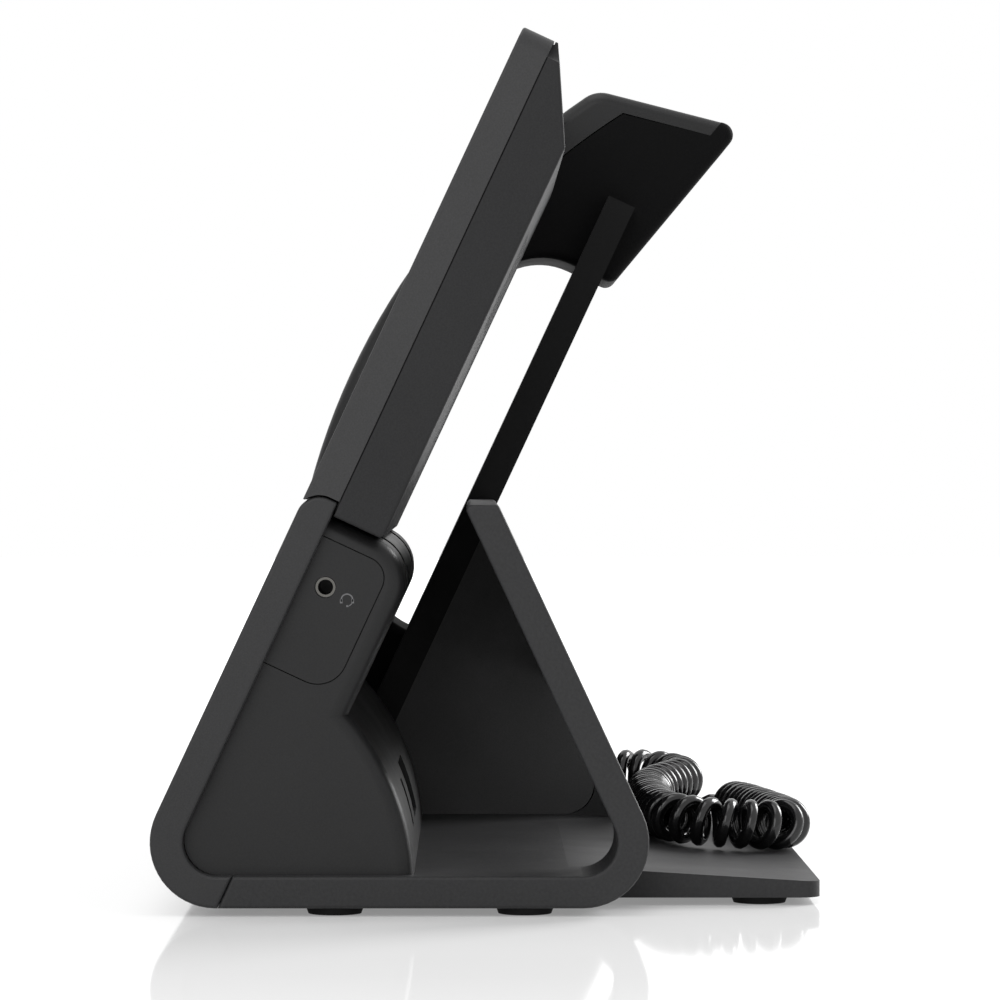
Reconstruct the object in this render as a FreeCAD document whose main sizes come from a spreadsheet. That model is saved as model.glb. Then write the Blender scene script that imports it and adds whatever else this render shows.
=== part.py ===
import FreeCAD, Part
import math
import os
import re
import Sketcher

# Desk telephone: an A-shaped stand carries a tilting display and a keypad on its front limb, and a
# handset cradle beside them.  Millimetres, +Z up, the user sits at -Y, and X runs along the width.
# n and s are measured on the leaning front plane from its lower corner: n to the rear, s upwards.

SIZES = {
    # whole phone
    "lean": 25.0,
    "half_width": 126.5,
    "middle_y": -21.27,
    "cradle_width": 63.0,
    "display_gap": 2.0,
    "joint_gap": 0.4,
    "slide_gap": 0.3,
    "seam_gap": 0.12,
    # stand frame
    "base_length": 135.2,
    "base_thick": 7.5,
    "leg_thick": 7.5,
    "leg_over": 10.27,
    "bend_radius": 15.5,
    "strap_width": 27.0,
    "window_height": 46.0,
    "tongue_root": 27.3,
    "tongue_reach": 33.7,
    "tongue_tip_thick": 3.8,
    "tongue_corner": 5.0,
    "coil_gate_left": 20.0,
    "coil_gate_width": 23.0,
    "coil_gate_low": 10.6,
    "coil_gate_high": 28.0,
    "lead_gate_width": 10.0,
    "lead_gate_high": 15.0,
    "leg_round": 1.2,
    "rim_round": 0.8,
    "foot_height": 1.8,
    "foot_radius": 7.0,
    "foot_taper": 0.7,
    "foot_inset": 8.6,
    "foot_front": 52.2,
    "foot_rear": 38.0,
    "foot_tongue": 19.3,
    "foot_tongue_inset": 35.5,
    "screw_head_radius": 3.4,
    "screw_head_depth": 3.0,
    "screw_shank_radius": 1.5,
    "screw_length": 12.0,
    "screw_front": 36.0,
    "screw_rear": 58.0,
    "screw_inset": 30.0,
    # front fascia
    "fascia_thick": 7.8,
    "fascia_top": 108.9,
    "seam_past": 0.35,
    "fascia_nose": 5.6,
    "fascia_back_edge": 0.5,
    "lip_top": 30.0,
    "skin_thick": 2.6,
    "recess_low": 31.0,
    "recess_high": 101.0,
    "recess_side": 9.0,
    # keypad
    "key_pitch_x": 22.0,
    "key_pitch_s": 15.0,
    "key_first_s": 92.0,
    "key_width": 18.0,
    "key_height": 11.0,
    "key_corner": 3.0,
    "key_proud": 0.6,
    "key_round": 0.35,
    "key_gap": 0.35,
    "key_travel": 1.2,
    "flange_thick": 1.2,
    "flange_reach": 1.2,
    "side_column": 55.0,
    "side_key_width": 22.0,
    "side_key_height": 8.5,
    "rocker_width": 34.0,
    "rocker_pin_n": 1.3,
    "rocker_pin_radius": 0.7,
    "rocker_pin_reach": 1.0,
    "mat_low": 40.0,
    "mat_thick": 1.2,
    "board_thick": 1.6,
    "slot_count": 9.0,
    "slot_length": 7.0,
    "slot_width": 1.4,
    "slot_pitch": 3.6,
    "slot_centre_s": 36.0,
    "speaker_radius": 15.0,
    "speaker_depth": 12.0,
    "speaker_s": 48.0,
    # pedestal
    "side_recess": 4.0,
    "wall": 2.4,
    "floor_thick": 6.0,
    "board_front": 20.0,
    "panel_gap": 0.25,
    "pedestal_depth": 31.0,
    "pedestal_top": 105.0,
    "knuckle_radius": 11.0,
    "kink_height": 64.4,
    "flare_foot": 71.0,
    "flare_radius": 61.0,
    "pedestal_edge": 4.0,
    "knuckle_solid": 26.0,
    "panel_low": 67.5,
    "panel_high": 100.2,
    "panel_depth": 25.5,
    "panel_thick": 2.5,
    "panel_low_corner": 7.0,
    "panel_high_corner": 5.0,
    "headset_n": 13.5,
    "headset_s": 89.6,
    "headset_hole": 1.8,
    "headset_ring": 2.35,
    "headset_length": 14.0,
    "headset_body": 3.6,
    # sockets at the foot of the pedestal
    "port_face": 62.0,
    "port_wall": 1.0,
    "cord_socket_aside": 18.0,
    "cord_socket_back": 55.2,
    "cord_socket_width": 10.4,
    "cord_socket_height": 9.6,
    "cord_socket_depth": 14.0,
    "plug_width": 7.7,
    "plug_height": 6.6,
    "plug_length": 12.0,
    "lan_x": 26.0,
    "lan_width": 33.0,
    "lan_height": 13.4,
    "lan_depth": 21.0,
    "lan_hole_width": 11.9,
    "lan_hole_height": 8.2,
    "power_x": 66.0,
    "power_width": 9.0,
    "power_height": 11.0,
    "power_depth": 13.0,
    "power_hole": 3.0,
    "power_pin": 0.95,
    # display
    "display_low": 109.3,
    "display_high": 229.2,
    "display_corner": 4.5,
    "bezel_thick": 8.0,
    "bezel_edge": 0.6,
    "lip_turn": 30.0,
    "glass_margin": 5.0,
    "glass_thick": 1.4,
    "glass_sink": 0.2,
    "glass_gap": 0.2,
    "glass_corner": 3.0,
    "lcd_margin": 4.5,
    "lcd_thick": 4.6,
    "cover_rear": 21.0,
    "cover_low": 105.6,
    "cover_chamfer": 0.8,
    "ramp_length": 22.0,
    "ramp_land": 1.0,
    "cover_wall": 2.2,
    "shadow_gap": 0.35,
    "shadow_depth": 0.8,
    "display_board_inset": 30.0,
    "vent_count": 12.0,
    "vent_width": 2.0,
    "vent_length": 26.0,
    "vent_pitch": 6.0,
    "vent_s": 176.0,
    # hinge
    "arm_spread": 52.0,
    "arm_width": 14.0,
    "arm_slot": 0.4,
    "arm_barrel": 7.5,
    "arm_web": 5.0,
    "arm_web_front": 12.5,
    "arm_top": 126.0,
    "pin_radius": 2.5,
    "pin_gap": 0.1,
    "pin_seat": 8.0,
    # cradle
    "cradle_front": 35.5,
    "cradle_thick": 8.0,
    "fork_low": 192.5,
    "fork_high": 214.4,
    "prong_width": 6.5,
    "cradle_sill": 81.6,
    "cradle_wall": 2.5,
    "sensor_size": 4.0,
    "sensor_thick": 1.5,
    # handset
    "handset_width": 48.0,
    "back_radius": 189.6,
    "back_proud": 9.0,
    "back_centre_s": 139.8,
    "shell_split": 9.5,
    "handle_thick": 20.0,
    "arch_radius": 18.9,
    "ear_low": 193.0,
    "ear_face_n": 47.0,
    "ear_tip_n": 61.5,
    "ear_tip_s": 248.1,
    "ear_back_s": 240.3,
    "ear_seam": 6.2,
    "ear_riser": 5.0,
    "ear_seam_s": 237.5,
    "ear_back_round": 8.0,
    "ear_tip_round": 3.5,
    "sill_gap": 0.6,
    "mouth_face_high_n": 46.0,
    "mouth_face_low_n": 49.0,
    "handset_bottom": 42.0,
    "head_round": 3.0,
    "back_round": 3.2,
    "side_round": 2.5,
    "receiver_radius": 16.0,
    "receiver_depth": 8.0,
    "receiver_s": 220.0,
    "mic_radius": 4.9,
    "mic_depth": 4.5,
    "mic_s": 66.0,
    "cap_skin": 2.0,
    "sound_hole": 1.0,
    "sound_ring": 6.0,
    "jack_n": 39.0,
    "plug_nose": 1.5,
    "receiver_n": 38.0,
    "mic_n": 40.0,
    "magnet_n": 40.0,
    "weight_n": 5.0,
    "magnet_radius": 4.0,
    "magnet_thick": 3.0,
    "weight_length": 60.0,
    "weight_width": 16.0,
    "weight_thick": 4.0,
    # cord
    "cord_diameter": 3.4,
    "coil_diameter": 13.0,
    "coil_pitch": 3.8,
    "coil_ramp": 14.0,
    "coil_opening": 2.2,
}

doc = FreeCAD.newDocument("desk_ip_phone")
sheet = doc.addObject("Spreadsheet::Sheet", "dims")
for row, (alias, size) in enumerate(SIZES.items(), start=1):
    sheet.set(f"A{row}", alias)
    sheet.set(f"B{row}", str(size))
    sheet.setAlias(f"B{row}", alias)
doc.recompute()

WORD = re.compile(r"[a-z][a-z0-9_]*")
pieces = []


# Sizes and places

def linked(expression):
    """The expression with every size of the sheet written as a link to its cell."""
    return WORD.sub(lambda word: "dims." + word[0] if word[0] in SIZES else word[0], str(expression))


def num(expression):
    """The value of an expression in sizes of the sheet."""
    return float(sheet.evalExpression(str(expression)))


def bind(thing, prop, expression):
    """Ties a property of a document object to the sheet."""
    thing.setExpression(prop, linked(expression))


def leaning(y, z):
    """A point given along the base and above its underside, in the n and s of the front plane."""
    return f"(({y}) * cos(lean) - ({z}) * sin(lean))", f"(({y}) * sin(lean) + ({z}) * cos(lean))"


CORNER_Y = "(middle_y - base_length / 2)"
SIDE_TURN = "rotation(vector(1; 1; 1); 120)"
LEAN_TURN = "rotation(vector(1; 0; 0); -lean) * rotation(vector(1; 1; 1); 120)"
FACE_TURN = "rotation(vector(1; 0; 0); 90 - lean)"
FLAT_TURN = "rotation(vector(1; 0; 0); 0)"


def place(thing, turn, x="0", n="0", s="0", y=None, z=None):
    """Stands a piece at n and s on the front plane, or at y and z from the corner of the base."""
    if y is None:
        y = f"(({n}) * cos(lean) + ({s}) * sin(lean))"
        z = f"(({s}) * cos(lean) - ({n}) * sin(lean))"
    base = f"vector({x}; {CORNER_Y} + ({y}); foot_height + ({z}))"
    bind(thing, "Placement", f"placement({base}; {turn})")


DISPLAY_RIGHT = "half_width"
DISPLAY_LEFT = "(cradle_width + display_gap - half_width)"
DISPLAY_MIDDLE = "((cradle_width + display_gap) / 2)"
CRADLE_RIGHT = "(cradle_width - half_width)"
CRADLE_LEFT = "(-half_width)"
CRADLE_MIDDLE = "(cradle_width / 2 - half_width)"
PEDESTAL_RIGHT = "(half_width - side_recess)"
PEDESTAL_LEFT = f"({DISPLAY_LEFT} + side_recess)"
INNER_BEND = "(bend_radius - base_thick)"
HINGE_N = "(pedestal_depth - knuckle_radius)"
HINGE_S = "(pedestal_top - knuckle_radius)"
CRADLE_REAR = "(cradle_front + cradle_thick)"
CORD_SOCKET_X = f"({CRADLE_MIDDLE} + cord_socket_aside)"
CORD_SOCKET_FACE = "(base_length - cord_socket_back)"
CORD_SOCKET_MIDDLE = "(base_thick + cord_socket_height / 2)"


def base_top(n, above="0"):
    """The s at which the plane lying on the base, or above it, is met at n."""
    return f"((base_thick + ({above}) + ({n}) * sin(lean)) / cos(lean))"


# Sketches and features

def new_body(label, turn, **at):
    """A body with a label of its own, placed and listed among the pieces."""
    body = doc.addObject("PartDesign::Body", label)
    body.Label = label
    place(body, turn, **at)
    pieces.append(body)
    return body


def arc_between(start, end, radius, turn):
    """The shorter arc from start to end, turning left for 1 and right for -1."""
    chord = end - start
    across = FreeCAD.Vector(-chord.y, chord.x, 0).normalize()
    rise = math.sqrt(max(radius ** 2 - chord.Length ** 2 / 4, 0))
    centre = (start + end) / 2 + across * rise * turn
    first, last = (start, end) if turn > 0 else (end, start)
    angles = [math.atan2(p.y - centre.y, p.x - centre.x) for p in (first, last)]
    return Part.ArcOfCircle(Part.Circle(centre, FreeCAD.Vector(0, 0, 1), radius), *angles)


def outline(points, shapes, rules):
    """Adds a closed loop.  Each point is (x, y), or (x, y, radius, turn) where an arc leaves it."""
    spots = [FreeCAD.Vector(num(point[0]), num(point[1]), 0) for point in points]
    first = len(shapes)
    ends = []
    for index, point in enumerate(points):
        start, end = spots[index], spots[(index + 1) % len(spots)]
        if len(point) == 2:
            shapes.append(Part.LineSegment(start, end))
            ends.append((1, 2))
        else:
            shapes.append(arc_between(start, end, num(point[2]), point[3]))
            ends.append((1, 2) if point[3] > 0 else (2, 1))
    for index, point in enumerate(points):
        after = (index + 1) % len(points)
        here = first + index
        rules.append((("Coincident", here, ends[index][1], first + after, ends[after][0]), None))
        rules.append((("DistanceX", -1, 1, here, ends[index][0], num(point[0])), point[0]))
        rules.append((("DistanceY", -1, 1, here, ends[index][0], num(point[1])), point[1]))
        if len(point) > 2:
            rules.append((("Radius", here, num(point[2])), point[2]))


def circle(x, y, radius, shapes, rules):
    """Adds a full circle."""
    here = len(shapes)
    centre = FreeCAD.Vector(num(x), num(y), 0)
    shapes.append(Part.Circle(centre, FreeCAD.Vector(0, 0, 1), num(radius)))
    rules.append((("DistanceX", -1, 1, here, 3, num(x)), x))
    rules.append((("DistanceY", -1, 1, here, 3, num(y)), y))
    rules.append((("Radius", here, num(radius)), radius))


def rectangle(x_low, y_low, x_high, y_high):
    """The corners of a rectangle, anticlockwise."""
    return [(x_low, y_low), (x_high, y_low), (x_high, y_high), (x_low, y_high)]


def rounded(x_low, y_low, x_high, y_high, radius):
    """A rectangle with round corners, anticlockwise."""
    left, right = f"({x_low} + {radius})", f"({x_high} - {radius})"
    low, high = f"({y_low} + {radius})", f"({y_high} - {radius})"
    return [(left, y_low), (right, y_low, radius, 1), (x_high, low), (x_high, high, radius, 1),
            (right, y_high), (left, y_high, radius, 1), (x_low, high), (x_low, low, radius, 1)]


def draw(body, name, loops, plane, level):
    """A sketch of loops on one of the body's own planes, every dimension tied to the sheet."""
    sketch = body.newObject("Sketcher::SketchObject", name + "_sketch")
    origin = next(part for part in body.Origin.OriginFeatures if part.Role == plane)
    sketch.AttachmentSupport = [(origin, "")]
    sketch.MapMode = "FlatFace"
    bind(sketch, "AttachmentOffset.Base.z", level)
    shapes, rules = [], []
    for loop in loops:
        if isinstance(loop, tuple):
            circle(*loop, shapes, rules)
        else:
            outline(loop, shapes, rules)
    sketch.addGeometry(shapes)
    sketch.addConstraint([Sketcher.Constraint(*rule) for rule, _ in rules])
    for index, (_, expression) in enumerate(rules):
        if expression is not None:
            bind(sketch, f"Constraints[{index}]", expression)
    return sketch


def block(body, name, loops, low, high, plane="XY_Plane", cut=False):
    """Pads the loops from low to high along the plane's normal, or cuts that much away."""
    before = body.Shape.Volume if cut else 0
    sketch = draw(body, name, loops, plane, low)
    feature = body.newObject("PartDesign::Pocket" if cut else "PartDesign::Pad", name)
    feature.Profile = sketch
    feature.Reversed = cut
    bind(feature, "Length", f"({high}) - ({low})")
    doc.recompute()
    if cut and not body.Shape.Volume < before - 1e-6:
        raise RuntimeError(f"{body.Label}: {name} cuts nothing")
    return feature


def cut_away(body, name, loops, low, high, plane="XY_Plane"):
    """Cuts the loops out of a body from low to high along the plane's normal."""
    return block(body, name, loops, low, high, plane, cut=True)


def edges_along(shape, axis, x, y):
    """Names of the straight edges that run along an axis through x, y of the other two."""
    others = [i for i in range(3) if i != axis]
    names = []
    for index, edge in enumerate(shape.Edges, start=1):
        ends = [vertex.Point for vertex in edge.Vertexes]
        if len(ends) != 2:
            continue
        straight = all(abs(ends[0][i] - ends[1][i]) < 1e-6 for i in others)
        offsets = [abs(ends[0][i] - num(spot)) for i, spot in zip(others, (x, y))]
        if straight and max(offsets) < 1e-4:
            names.append(f"Edge{index}")
    return names


def edges_at(shape, axis, level, keep=lambda middle: True):
    """Names of the edges in the plane at a level of an axis whose middles pass a test."""
    names = []
    for index, edge in enumerate(shape.Edges, start=1):
        box = edge.BoundBox
        low, high = ((box.XMin, box.XMax), (box.YMin, box.YMax), (box.ZMin, box.ZMax))[axis]
        middle = edge.valueAt((edge.FirstParameter + edge.LastParameter) / 2)
        if abs(low - num(level)) < 1e-3 and abs(high - num(level)) < 1e-3 and keep(middle):
            names.append(f"Edge{index}")
    return names


def soften(body, name, names, radius, kind="Fillet"):
    """Rounds or bevels the named edges of a body as it stands."""
    if not names:
        raise RuntimeError(f"{body.Label}: {name} finds no edge")
    base = body.Tip
    feature = body.newObject("PartDesign::" + kind, name)
    feature.Base = (base, names)
    bind(feature, "Radius" if kind == "Fillet" else "Size", radius)
    doc.recompute()
    if feature.Shape.isNull() or "Invalid" in feature.State:
        raise RuntimeError(f"{body.Label}: {name} can't be made")


def local_shape(body):
    """The shape of a body's last feature, in the body's own frame."""
    return body.Tip.Shape


def round_corners(body, name, spots, radius, axis=2):
    """Rounds the edges of a body that run along one axis through the given spots."""
    shape = local_shape(body)
    soften(body, name, [edge for x, y in spots for edge in edges_along(shape, axis, x, y)], radius)


def round_rims(body, left, right, keep=lambda middle: True, radius="rim_round"):
    """Rounds the edges of a body's left and right faces whose middles pass a test."""
    for name, level in (("left_rim", left), ("right_rim", right)):
        soften(body, name, edges_at(local_shape(body), 2, level, keep), radius)


def slab(label, turn, length, width, height, **at):
    """A plain rectangular piece, its edges along the axes of its own frame."""
    box = doc.addObject("Part::Box", label)
    box.Label = label
    bind(box, "Length", length)
    bind(box, "Width", width)
    bind(box, "Height", height)
    place(box, turn, **at)
    pieces.append(box)
    return box


def gather(label, members):
    """One node for a set of like pieces."""
    compound = doc.addObject("Part::Compound", label)
    compound.Label = label
    compound.Links = members
    pieces.append(compound)


# Stand

FASCIA_SEAM = "(bend_radius / tan((90 - lean) / 2) * cos(lean) + seam_past)"
SEAM_FOOT = f"({FASCIA_SEAM} / cos(lean) + seam_gap)"
LEG_INSIDE = "(base_length - leg_thick / cos(lean))"
CREST = f"(({LEG_INSIDE} - {CRADLE_REAR} / cos(lean)) / (2 * tan(lean)))"
LEG_HEIGHT = f"({CREST} + leg_over)"
WINDOW_FRONT = f"({LEG_INSIDE} - 2 * window_height * tan(lean))"
TONGUE_CREASE = "(base_length - tongue_root)"
TONGUE_END = "(base_length + tongue_reach)"
STRAP_INSIDE = "(half_width - strap_width)"
SCREW_XS = [f"({PEDESTAL_LEFT} + screw_inset)", f"({PEDESTAL_RIGHT} - screw_inset)"]
SCREW_SPOTS = [(y, x) for y in ("screw_front", "screw_rear") for x in SCREW_XS]


def along_cradle(n, z):
    """The distance from the corner of the base at which the plane n stands at height z."""
    return f"({n} / cos(lean) + ({z}) * tan(lean))"


def stand_frame():
    """Base, rear bend and rear leg in one strip, with the cable window and the cord tongue."""
    body = new_body("stand_frame", SIDE_TURN)
    inner = (f"{LEG_INSIDE} - base_thick * tan(lean)", "base_thick")
    leg_top = [(f"base_length - {LEG_HEIGHT} * tan(lean)", LEG_HEIGHT),
               (f"{LEG_INSIDE} - {LEG_HEIGHT} * tan(lean)", LEG_HEIGHT)]
    block(body, "strip", [[
        (SEAM_FOOT, "0"), ("base_length", "0"), *leg_top, inner,
        (f"{SEAM_FOOT} + base_thick * tan(lean)", "base_thick")]], "-half_width", "half_width")
    round_corners(body, "outer_bend", [("base_length", "0")], "bend_radius")
    round_corners(body, "inner_bend", [inner], INNER_BEND)
    round_corners(body, "leg_top", leg_top, "leg_round")
    cut_away(body, "tongue_slot", [rectangle(TONGUE_CREASE, "-base_thick", TONGUE_END, "base_thick")],
             CRADLE_RIGHT, STRAP_INSIDE)
    cut_away(body, "cable_window", [rectangle(WINDOW_FRONT, "base_thick", TONGUE_END, "window_height")],
             CRADLE_RIGHT, STRAP_INSIDE)
    for name, low, high, left, right in (
            ("coil_gate", "coil_gate_low", "coil_gate_high", f"{CRADLE_LEFT} + coil_gate_left",
             f"{CRADLE_LEFT} + coil_gate_left + coil_gate_width"),
            ("lead_gate", "base_thick", "lead_gate_high", f"{CORD_SOCKET_X} - lead_gate_width / 2",
             f"{CORD_SOCKET_X} + lead_gate_width / 2")):
        cut_away(body, name, [rectangle(WINDOW_FRONT, low, TONGUE_END, high)], left, right)
    low, high = "window_height", f"({LEG_HEIGHT} + base_thick)"
    cut_away(body, "cradle_seat", [[
        (along_cradle(CRADLE_REAR, low), low), (along_cradle(CRADLE_REAR, high), high),
        (along_cradle("fascia_thick", high), high), (along_cradle("fascia_thick", low), low)]],
        "-half_width", CRADLE_RIGHT)
    block(body, "tongue", [[
        (TONGUE_CREASE, "0"), (TONGUE_END, "0"), (TONGUE_END, "tongue_tip_thick"),
        (TONGUE_CREASE, "base_thick")]], f"-{STRAP_INSIDE}", STRAP_INSIDE)
    round_corners(body, "tongue_corners", [(TONGUE_END, STRAP_INSIDE), (TONGUE_END, f"-{STRAP_INSIDE}")],
                  "tongue_corner", axis=1)
    round_rims(body, "-half_width", "half_width")
    heads = [(y, x, "screw_head_radius") for y, x in SCREW_SPOTS]
    cut_away(body, "screw_heads", heads, "-screw_head_depth", "0", "XZ_Plane")
    shanks = [(y, x, "screw_shank_radius") for y, x in SCREW_SPOTS]
    cut_away(body, "screw_shanks", shanks, "-base_thick", "0", "XZ_Plane")


def rubber_feet():
    """Four pads under the base and two under the tongue, tapered towards the table."""
    spots = [(y, f"{side} * (half_width - foot_inset)")
             for y in ("foot_front", "(base_length - foot_rear)") for side in (-1, 1)]
    spots += [("(base_length + foot_tongue)", f"{side} * (half_width - foot_tongue_inset)")
              for side in (-1, 1)]
    pads = []
    for index, (y, x) in enumerate(spots):
        pad = doc.addObject("Part::Cone", f"foot_{index}")
        bind(pad, "Radius1", "foot_radius - foot_taper")
        bind(pad, "Radius2", "foot_radius")
        bind(pad, "Height", "foot_height")
        place(pad, FLAT_TURN, x=x, y=y, z="-foot_height")
        pads.append(pad)
    gather("rubber_feet", pads)


def base_screws():
    """Screws that hold the pedestal down, their heads sunk in the underside."""
    screws = []
    for index, (y, x) in enumerate(SCREW_SPOTS):
        head = doc.addObject("Part::Cylinder", f"screw_head_{index}")
        bind(head, "Radius", "screw_head_radius - slide_gap")
        bind(head, "Height", "screw_head_depth - slide_gap")
        place(head, FLAT_TURN, x=x, y=y, z="slide_gap")
        shank = doc.addObject("Part::Cylinder", f"screw_shank_{index}")
        bind(shank, "Radius", "screw_shank_radius")
        bind(shank, "Height", "screw_length")
        place(shank, FLAT_TURN, x=x, y=y, z="slide_gap")
        screw = doc.addObject("Part::Fuse", f"screw_{index}")
        screw.Base = head
        screw.Tool = shank
        screws.append(screw)
    gather("base_screws", screws)


# Front fascia and keypad

DIAL_LABELS = ["key_1", "key_2", "key_3", "key_4", "key_5", "key_6",
               "key_7", "key_8", "key_9", "key_star", "key_0", "key_hash"]
LEFT_LABELS = ["key_message", "key_hold", "key_transfer", "key_conference"]
RIGHT_LABELS = ["key_headset", "key_speaker", "key_mute"]
FLANGE_TOP = "(skin_thick + slide_gap)"
FLANGE_BACK = f"({FLANGE_TOP} + flange_thick)"
MAT_FRONT = f"({FLANGE_BACK} + key_travel + slide_gap)"
BOARD_FRONT = f"({MAT_FRONT} + mat_thick)"
RECESS_LEFT = f"({DISPLAY_LEFT} + recess_side)"
RECESS_RIGHT = "(half_width - recess_side)"


def key_row(row):
    """The height of a row of keys on the front plane."""
    return f"(key_first_s - {row} * key_pitch_s)"


def key_table():
    """Label, x, s, width and height of every key that is pressed straight in."""
    table = []
    for index, label in enumerate(DIAL_LABELS):
        x = f"({DISPLAY_MIDDLE} + {index % 3 - 1} * key_pitch_x)"
        table.append((label, x, key_row(index // 3), "key_width", "key_height"))
    for side, labels in ((-1, LEFT_LABELS), (1, RIGHT_LABELS)):
        for row, label in enumerate(labels):
            x = f"({DISPLAY_MIDDLE} + {side} * side_column)"
            table.append((label, x, key_row(row), "side_key_width", "side_key_height"))
    return table


ROCKER = ("volume_rocker", f"({DISPLAY_MIDDLE} + side_column)", key_row(len(RIGHT_LABELS)),
          "rocker_width", "side_key_height")


def front_fascia():
    """Lower front panel with a round nose at its top and a curved foot that runs on under the cradle."""
    body = new_body("front_fascia", LEAN_TURN)
    inner = ("fascia_thick", base_top("fascia_thick"))
    block(body, "limb", [[
        ("0", "0"), (FASCIA_SEAM, f"{FASCIA_SEAM} * tan(lean)"), (FASCIA_SEAM, base_top(FASCIA_SEAM)),
        inner, ("fascia_thick", "fascia_top"), ("0", "fascia_top")]], "-half_width", "half_width")
    round_corners(body, "outer_bend", [("0", "0")], "bend_radius")
    round_corners(body, "inner_bend", [inner], INNER_BEND)
    round_corners(body, "nose", [("0", "fascia_top")], "fascia_nose")
    round_corners(body, "nose_back", [("fascia_thick", "fascia_top")], "fascia_back_edge")
    round_rims(body, "-half_width", "half_width")
    beside = rectangle("-fascia_thick", "lip_top", "2 * fascia_thick", "2 * fascia_top")
    cut_away(body, "cradle_side", [beside], "-half_width", DISPLAY_LEFT)
    cut_away(body, "recess", [rectangle("recess_low", RECESS_LEFT, "recess_high", RECESS_RIGHT)],
             "skin_thick", "fascia_thick", "YZ_Plane")
    for row in range(len(LEFT_LABELS)):
        holes = [rounded(f"({s} - {h} / 2 - key_gap)", f"({x} - {w} / 2 - key_gap)",
                         f"({s} + {h} / 2 + key_gap)", f"({x} + {w} / 2 + key_gap)", "(key_corner + key_gap)")
                 for _, x, s, w, h in key_table() + [ROCKER] if s == key_row(row)]
        cut_away(body, f"key_holes_{row}", holes, "0", "skin_thick", "YZ_Plane")
    _, x, s, _, height = ROCKER
    half_s, half_x = f"({height} / 2 + rocker_pin_reach + slide_gap)", "(rocker_pin_radius + slide_gap)"
    cut_away(body, "pivot_seats", [rectangle(f"({s} - {half_s})", f"({x} - {half_x})", f"({s} + {half_s})",
                                             f"({x} + {half_x})")],
             "rocker_pin_n - rocker_pin_radius - slide_gap", "skin_thick", "YZ_Plane")
    slots = []
    for index in range(int(num("slot_count"))):
        x = f"({DISPLAY_MIDDLE} + ({index} - (slot_count - 1) / 2) * slot_pitch)"
        slots.append(rectangle("(slot_centre_s - slot_length / 2)", f"({x} - slot_width / 2)",
                               "(slot_centre_s + slot_length / 2)", f"({x} + slot_width / 2)"))
    cut_away(body, "speaker_slots", slots, "0", "skin_thick", "YZ_Plane")


def key(label, x, s, width, height, flange_width, flange_height):
    """A key cap with a flange that keeps it behind the fascia."""
    body = new_body(label, FACE_TURN, x=x, s=s)
    block(body, "flange", [rectangle(f"-({flange_width}) / 2", f"-({flange_height}) / 2",
                                     f"({flange_width}) / 2", f"({flange_height}) / 2")],
          f"-{FLANGE_BACK}", f"-{FLANGE_TOP}")
    block(body, "cap", [rounded(f"(-{width} / 2)", f"(-{height} / 2)", f"({width} / 2)", f"({height} / 2)",
                                "key_corner")], f"-{FLANGE_TOP}", "key_proud")
    soften(body, "cap_edge", edges_at(local_shape(body), 2, "key_proud"), "key_round", "Chamfer")
    return body


def keypad():
    """Keys, rocker, the rubber mat under them and the board that the mat lies on."""
    for label, x, s, width, height in key_table():
        key(label, x, s, width, height, f"{width} + 2 * flange_reach", f"{height} + 2 * flange_reach")
    label, x, s, width, height = ROCKER
    body = key(label, x, s, width, height, "key_corner * 2", f"{height} + 2 * flange_reach")
    reach = f"({height} / 2 + rocker_pin_reach)"
    block(body, "pivot", [("0", "-rocker_pin_n", "rocker_pin_radius")], f"-{reach}", reach, "XZ_Plane")
    for label, thick, front in (("key_mat", "mat_thick", MAT_FRONT),
                                ("key_board", "board_thick", BOARD_FRONT)):
        slab(label, LEAN_TURN, thick, "recess_high - mat_low - slide_gap",
             f"{RECESS_RIGHT} - {RECESS_LEFT} - 2 * slide_gap",
             x=f"({RECESS_LEFT} + slide_gap)", n=front, s="mat_low")


# Pedestal

BOARD_BACK = f"({BOARD_FRONT} + board_thick)"
PORT_FLOOR = "(base_thick + floor_thick + board_thick)"
ARM_XS = [f"({DISPLAY_MIDDLE} - arm_spread)", f"({DISPLAY_MIDDLE} + arm_spread)"]
PANEL_BACK = f"({PEDESTAL_RIGHT} - panel_thick)"
PORTS = [("network_ports", "lan_x", "lan_width", "lan_height", "lan_depth"),
         ("power_jack", "power_x", "power_width", "power_height", "power_depth")]


def panel_outline(grow):
    """The jack panel's edge, square towards the fascia and round towards the rear, grown all round."""
    low, high = f"(panel_low - {grow})", f"(panel_high + {grow})"
    rear = f"(panel_depth + {grow})"
    low_corner, high_corner = f"(panel_low_corner + {grow})", f"(panel_high_corner + {grow})"
    return [("fascia_thick", low), (f"{rear} - {low_corner}", low, low_corner, 1),
            (rear, f"{low} + {low_corner}"), (rear, f"{high} - {high_corner}", high_corner, 1),
            (f"{rear} - {high_corner}", high), ("fascia_thick", high)]


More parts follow.
